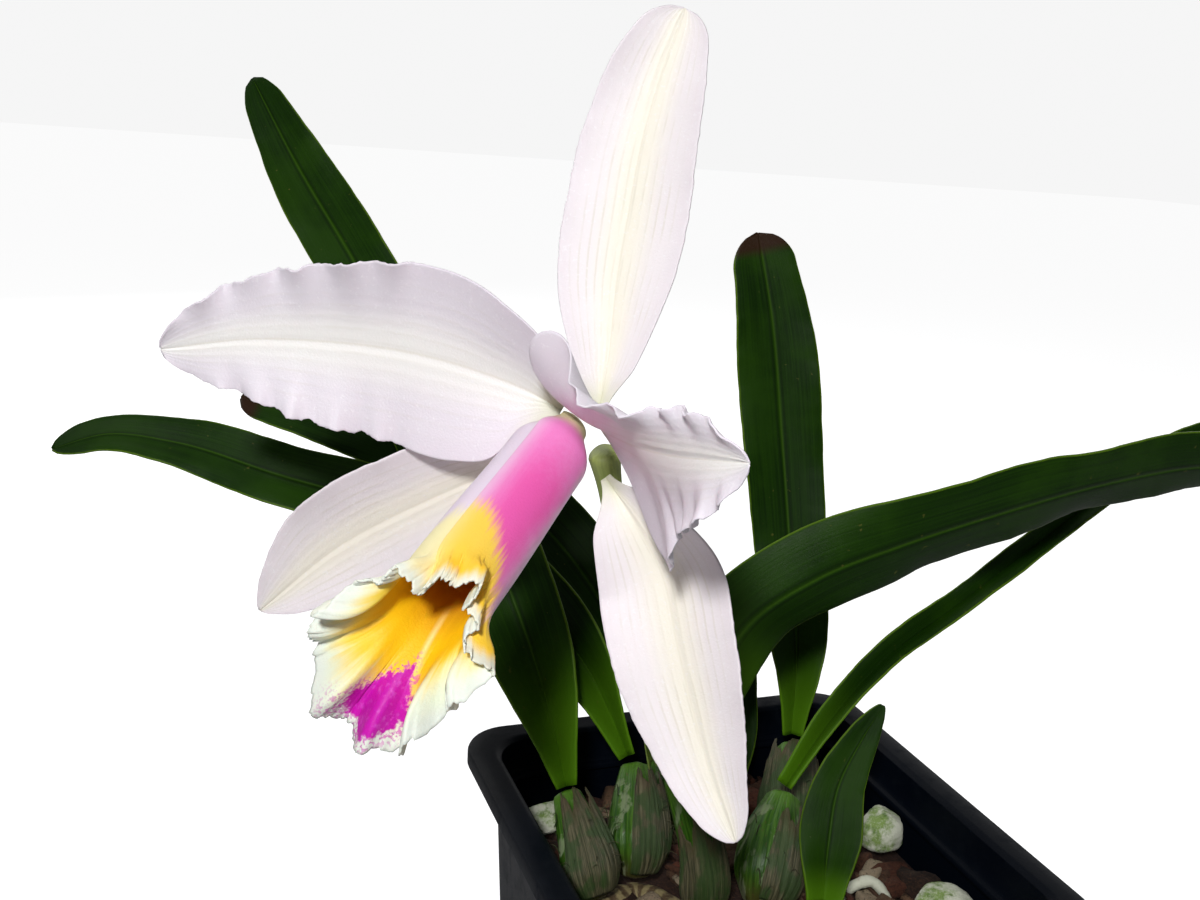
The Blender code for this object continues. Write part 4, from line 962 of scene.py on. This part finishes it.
def lip_grid(nu, nv):
    """u runs from the base to the margin, v round the tube from seam to seam.

    Each lengthwise line runs along the axis for the tube's length, then turns outward; the front
    lobe is the longest and the seam side the shortest. One edge laps over the other.
    """
    axis = unit(LIP_AXIS)
    down = unit(LIP_DOWN - axis * (LIP_DOWN @ axis))
    down = math.cos(LIP_ROLL) * down + math.sin(LIP_ROLL) * np.cross(axis, down)
    left = np.cross(axis, down)
    u = np.linspace(0, 1, nu)[:, None]
    v = np.linspace(-1, 1, nv)[None, :]
    q = v * np.pi * (1.05 - 0.06 * ease((u - 0.84) * 6))
    front = ((1 + np.cos(v * np.pi)) / 2) ** 1.2
    side = np.sin(v * np.pi)
    length = 51 + 20.5 * front - 1.7 * side**2 - 5.5 * side + 3.5 * np.exp(-((v + 0.62) / 0.07) ** 2)
    length = length - 4 * np.exp(-((v + 0.53) / 0.04) ** 2) - 4 * np.exp(-((v - 0.2) / 0.05) ** 2)
    length = length + 0.9 * ripple(v * 45, 5) + 0.4 * ripple(v * 130, 6)
    tube_end = 45.0
    run = u * length
    turn = np.radians(9 + 26 * front + 14 * np.clip(side, 0, 1) + 46 * np.clip(-side, 0, 1))
    bend = turn * ease((run - tube_end) / (length - tube_end + 4)) * 1.25
    step = np.diff(run, axis=0)
    mid = (bend[1:] + bend[:-1]) / 2
    far = np.concatenate([run[:1] * 0, np.cumsum(np.cos(mid) * step, axis=0)])
    out = np.concatenate([run[:1] * 0, np.cumsum(np.sin(mid) * step, axis=0)])
    radius = 3.4 + 4.2 * ease(run / 9) + 0.7 * ease((run - 9) / 30) + 0.7 * v
    live = ease((run - tube_end + 5) / (length - tube_end + 2))
    lift = live**4 * np.sin(v * np.pi * 11 + 0.8) * (1.2 + 1.8 * front)
    lift = lift + live**2 * np.sin(v * np.pi * 5 + 2.0) * 1.6
    hem = ease((u - 0.90) * 10)
    lift = lift + hem * (0.40 * ripple(v * 60, 8) + 0.16 * ripple(v * 170, 9))
    nose = (far + lift * -np.sin(bend))[..., None] * axis
    r = (radius + out + lift * np.cos(bend))[..., None]
    around = np.cos(q)[..., None] * down + np.sin(q)[..., None] * left
    return LIP_START + nose + r * around


def lip_finish():
    """Lip colours by place: u along, v round; the inner face carries the throat and the blotch.

    turn counts v from the front centre line round one side to the seam at 1 and on to 2.
    """
    p = Paint("lip bloom", 0.48, subsurface_weight=0.10, subsurface_scale=0.002, specular_ior_level=0.35)
    p.shader.inputs["Subsurface Radius"].default_value = (1.0, 0.6, 0.5)
    across, u = p.uv()
    v = (across - 0.5) * 2.0
    turn = v + v.math("LESS_THAN", 0.0) * 2.0
    inner = p.tone("inner")
    o = p.place()
    drift = (p.noise(o, 110, 5, 0.6) - 0.5) * 0.30
    fine = p.noise(o, 900, 4, 0.6)
    cell = p.noise(o, 2300, 3, 0.6)
    streak = p.strands(across * 90.0, u * 3.0, 1.0, 4, 0.6) - 0.5
    bank = p.hump(turn + drift * 0.3, 0.72, 0.48).math("MAXIMUM", p.hump(turn, 1.70, 0.42))
    outer = p.blend(p.rise(bank + drift * 0.5, 0.0, 0.80), (0.80, 0.68, 0.80), (0.86, 0.24, 0.58))
    core = p.rise(bank + drift * 0.9 + streak * 0.25, 0.42, 1.0)
    core = core * p.rise(u + drift * 0.4 + (fine - 0.5) * 0.2, 0.12, 0.5)
    outer = p.blend(core * 0.85, outer, (0.84, 0.085, 0.40))
    foot = 1 - p.rise(u + drift * 0.2 + bank * 0.03, 0.03, 0.16)
    outer = p.blend(foot, outer, (0.60, 0.50, 0.26))
    border = 0.82 - 0.20 * p.rise(turn, 0.55, 1.02) + 0.20 * p.rise(turn, 1.35, 1.75)
    past = p.rise(u + drift * 0.12 + streak * 0.16 - border, -0.045, 0.055)
    creamy = p.rise(turn, 0.88, 1.18) * (1 - p.rise(turn, 1.3, 1.7))
    warm = p.blend(creamy, (0.96, 0.56, 0.012), (0.90, 0.86, 0.58))
    warm = p.blend((1 - p.rise(u, 0.80, 1.0)) * 0.35, warm, (0.97, 0.76, 0.20))
    outer = p.blend(past, outer, warm)
    # the orange throat is the lip's own colour; its darkening to deep red-orange toward the foot of the tube
    # is painted shade inside the tube
    throat = p.blend(p.rise(u + drift * 0.15, 0.55, 0.74), (0.52, 0.19, 0.001), (0.96, 0.55, 0.003))
    throat = p.blend(p.rise(u + streak * 0.10, 0.76, 0.88) * 0.55, throat, (0.97, 0.80, 0.14))
    ridge = p.hump(v - (u - 0.85) * 0.22, 0.0, 0.030) * p.hump(u, 0.72, 0.14)
    throat = p.blend(ridge * 0.7, throat, (0.96, 0.84, 0.40))
    side = v.math("ABSOLUTE")
    ends = 0.86 + 0.05 * p.rise(side, 0.15, 0.5)
    pale = p.rise(u + drift * 0.18 + streak * 0.14 - ends, -0.05, 0.075)
    throat = p.blend(pale, throat, (0.84, 0.88, 0.70))
    face = p.blend(inner, outer, throat)
    face = p.blend(p.rise(u + drift * 0.10, 0.925, 0.985) * 0.85, face, (0.82, 0.86, 0.78))
    down = (u - 0.878) / 0.098
    wide = (v + 0.088 + 0.37 * (u - 0.885)) / (0.105 + 0.45 * (u - 0.885))
    near = down * down + wide * wide
    ragged = near + (fine - 0.5) * 1.2 + streak * 0.7
    spots = p.rise(p.noise(o, 1500, 2, 0.5), 0.50, 0.60) * (1 - p.rise(near, 1.1, 2.4))
    blotch = (1 - p.rise(ragged, 0.80, 1.10)).math("MAXIMUM", spots * 0.75)
    violet = p.blend(p.rise(fine, 0.52, 0.70) * 0.55, (0.58, 0.004, 0.42), (0.70, 0.10, 0.62))
    face = p.blend(blotch * inner, face, violet)
    face = p.blend((1 - p.rise(near, 0.3, 1.2)) * (1 - inner) * 0.35, face, (0.70, 0.20, 0.60))
    return p.wear(face, 0.42 + 0.2 * cell, p.bump(cell * 0.35 + streak * 0.12, 0.0005, 0.6))


LIP_THICK, LIP_EDGE = 0.7, 0.35
v, f, uv, face = shell(lip_grid(100, 440), LIP_THICK, LIP_EDGE)
place("lip_bloom", v, f, "lip", "lip_bloom", lip_finish(), uv=uv, tones={"inner": 1 - face})

# Setting. Pale floor, soft key light from the upper left of the camera, wide fill, and the
# camera where the photograph was taken from.
FLOOR_HALF = 9
floor_mesh = bpy.data.meshes.new("floor")
corners = [(x * FLOOR_HALF, y * FLOOR_HALF, 0) for x, y in ((-1, -1), (1, -1), (1, 1), (-1, 1))]
floor_mesh.from_pydata(corners, [], [(0, 1, 2, 3)])
floor = bpy.data.objects.new("floor", floor_mesh)
bpy.context.scene.collection.objects.link(floor)
p = Paint("floor", 0.9, specular_ior_level=0.0)
p.tree.links.new((p.node("ShaderNodeLightPath") * 0.92).socket, p.shader.inputs["Emission Strength"])
p.shader.inputs["Emission Color"].default_value = (1, 1, 1, 1)
floor_mesh.materials.append(p.wear((0.50, 0.50, 0.51)))

PITCH, YAW, ROLL = np.radians([15.0, -22.0, 4.5])
EYE = np.array([-140.4, -226.8, 271.16])
ahead = np.array([-math.sin(YAW) * math.cos(PITCH), math.cos(YAW) * math.cos(PITCH), -math.sin(PITCH)])
level = np.array([math.cos(YAW), math.sin(YAW), 0])
right = math.cos(ROLL) * level + math.sin(ROLL) * np.cross(level, ahead)
up = np.cross(right, ahead)


def stand(data, eye, basis):
    """Camera or light at eye (mm), looking along the third axis of basis reversed."""
    obj = bpy.data.objects.new(data.name, data)
    bpy.context.scene.collection.objects.link(obj)
    rows = np.eye(4)
    rows[:3, :3] = np.stack(basis, 1)
    rows[:3, 3] = np.array(eye) / 1000
    obj.matrix_world = rows.T.tolist()
    return obj


lens = bpy.data.cameras.new("camera")
lens.lens, lens.sensor_width, lens.clip_start = 36, 36, 0.01
bpy.context.scene.camera = stand(lens, EYE, (right, up, -ahead))
for name, eye, size, power in (("key", EYE - ahead * 300 + up * 170 - right * 60, 0.06, 3.1),
                               ("fill", (800, -700, 500), 1.4, 0.9), ("back", (-400, 900, 800), 1.4, 8.0),
                               ("side", (900, 700, 600), 1.2, 3.0)):
    light = bpy.data.lights.new(name, "AREA")
    light.size, light.energy = size, power
    away = unit(np.array(eye) - np.array([-20.0, 0, 170]))
    flat = unit(np.cross([0, 0, 1.0], away))
    stand(light, eye, (flat, np.cross(away, flat), away))
world = bpy.data.worlds.new("air")
bpy.context.scene.world = world
world.use_nodes = True
sky = world.node_tree.nodes
seen, glow = sky.new("ShaderNodeLightPath"), sky.new("ShaderNodeMapRange")
glow.inputs["To Min"].default_value, glow.inputs["To Max"].default_value = 0.08, 0.92
world.node_tree.links.new(seen.outputs["Is Camera Ray"], glow.inputs["Value"])
world.node_tree.links.new(glow.outputs[0], sky["Background"].inputs["Strength"])
sky["Background"].inputs["Color"].default_value = (1, 1, 1, 1)
bpy.context.scene.view_settings.view_transform = "Standard"
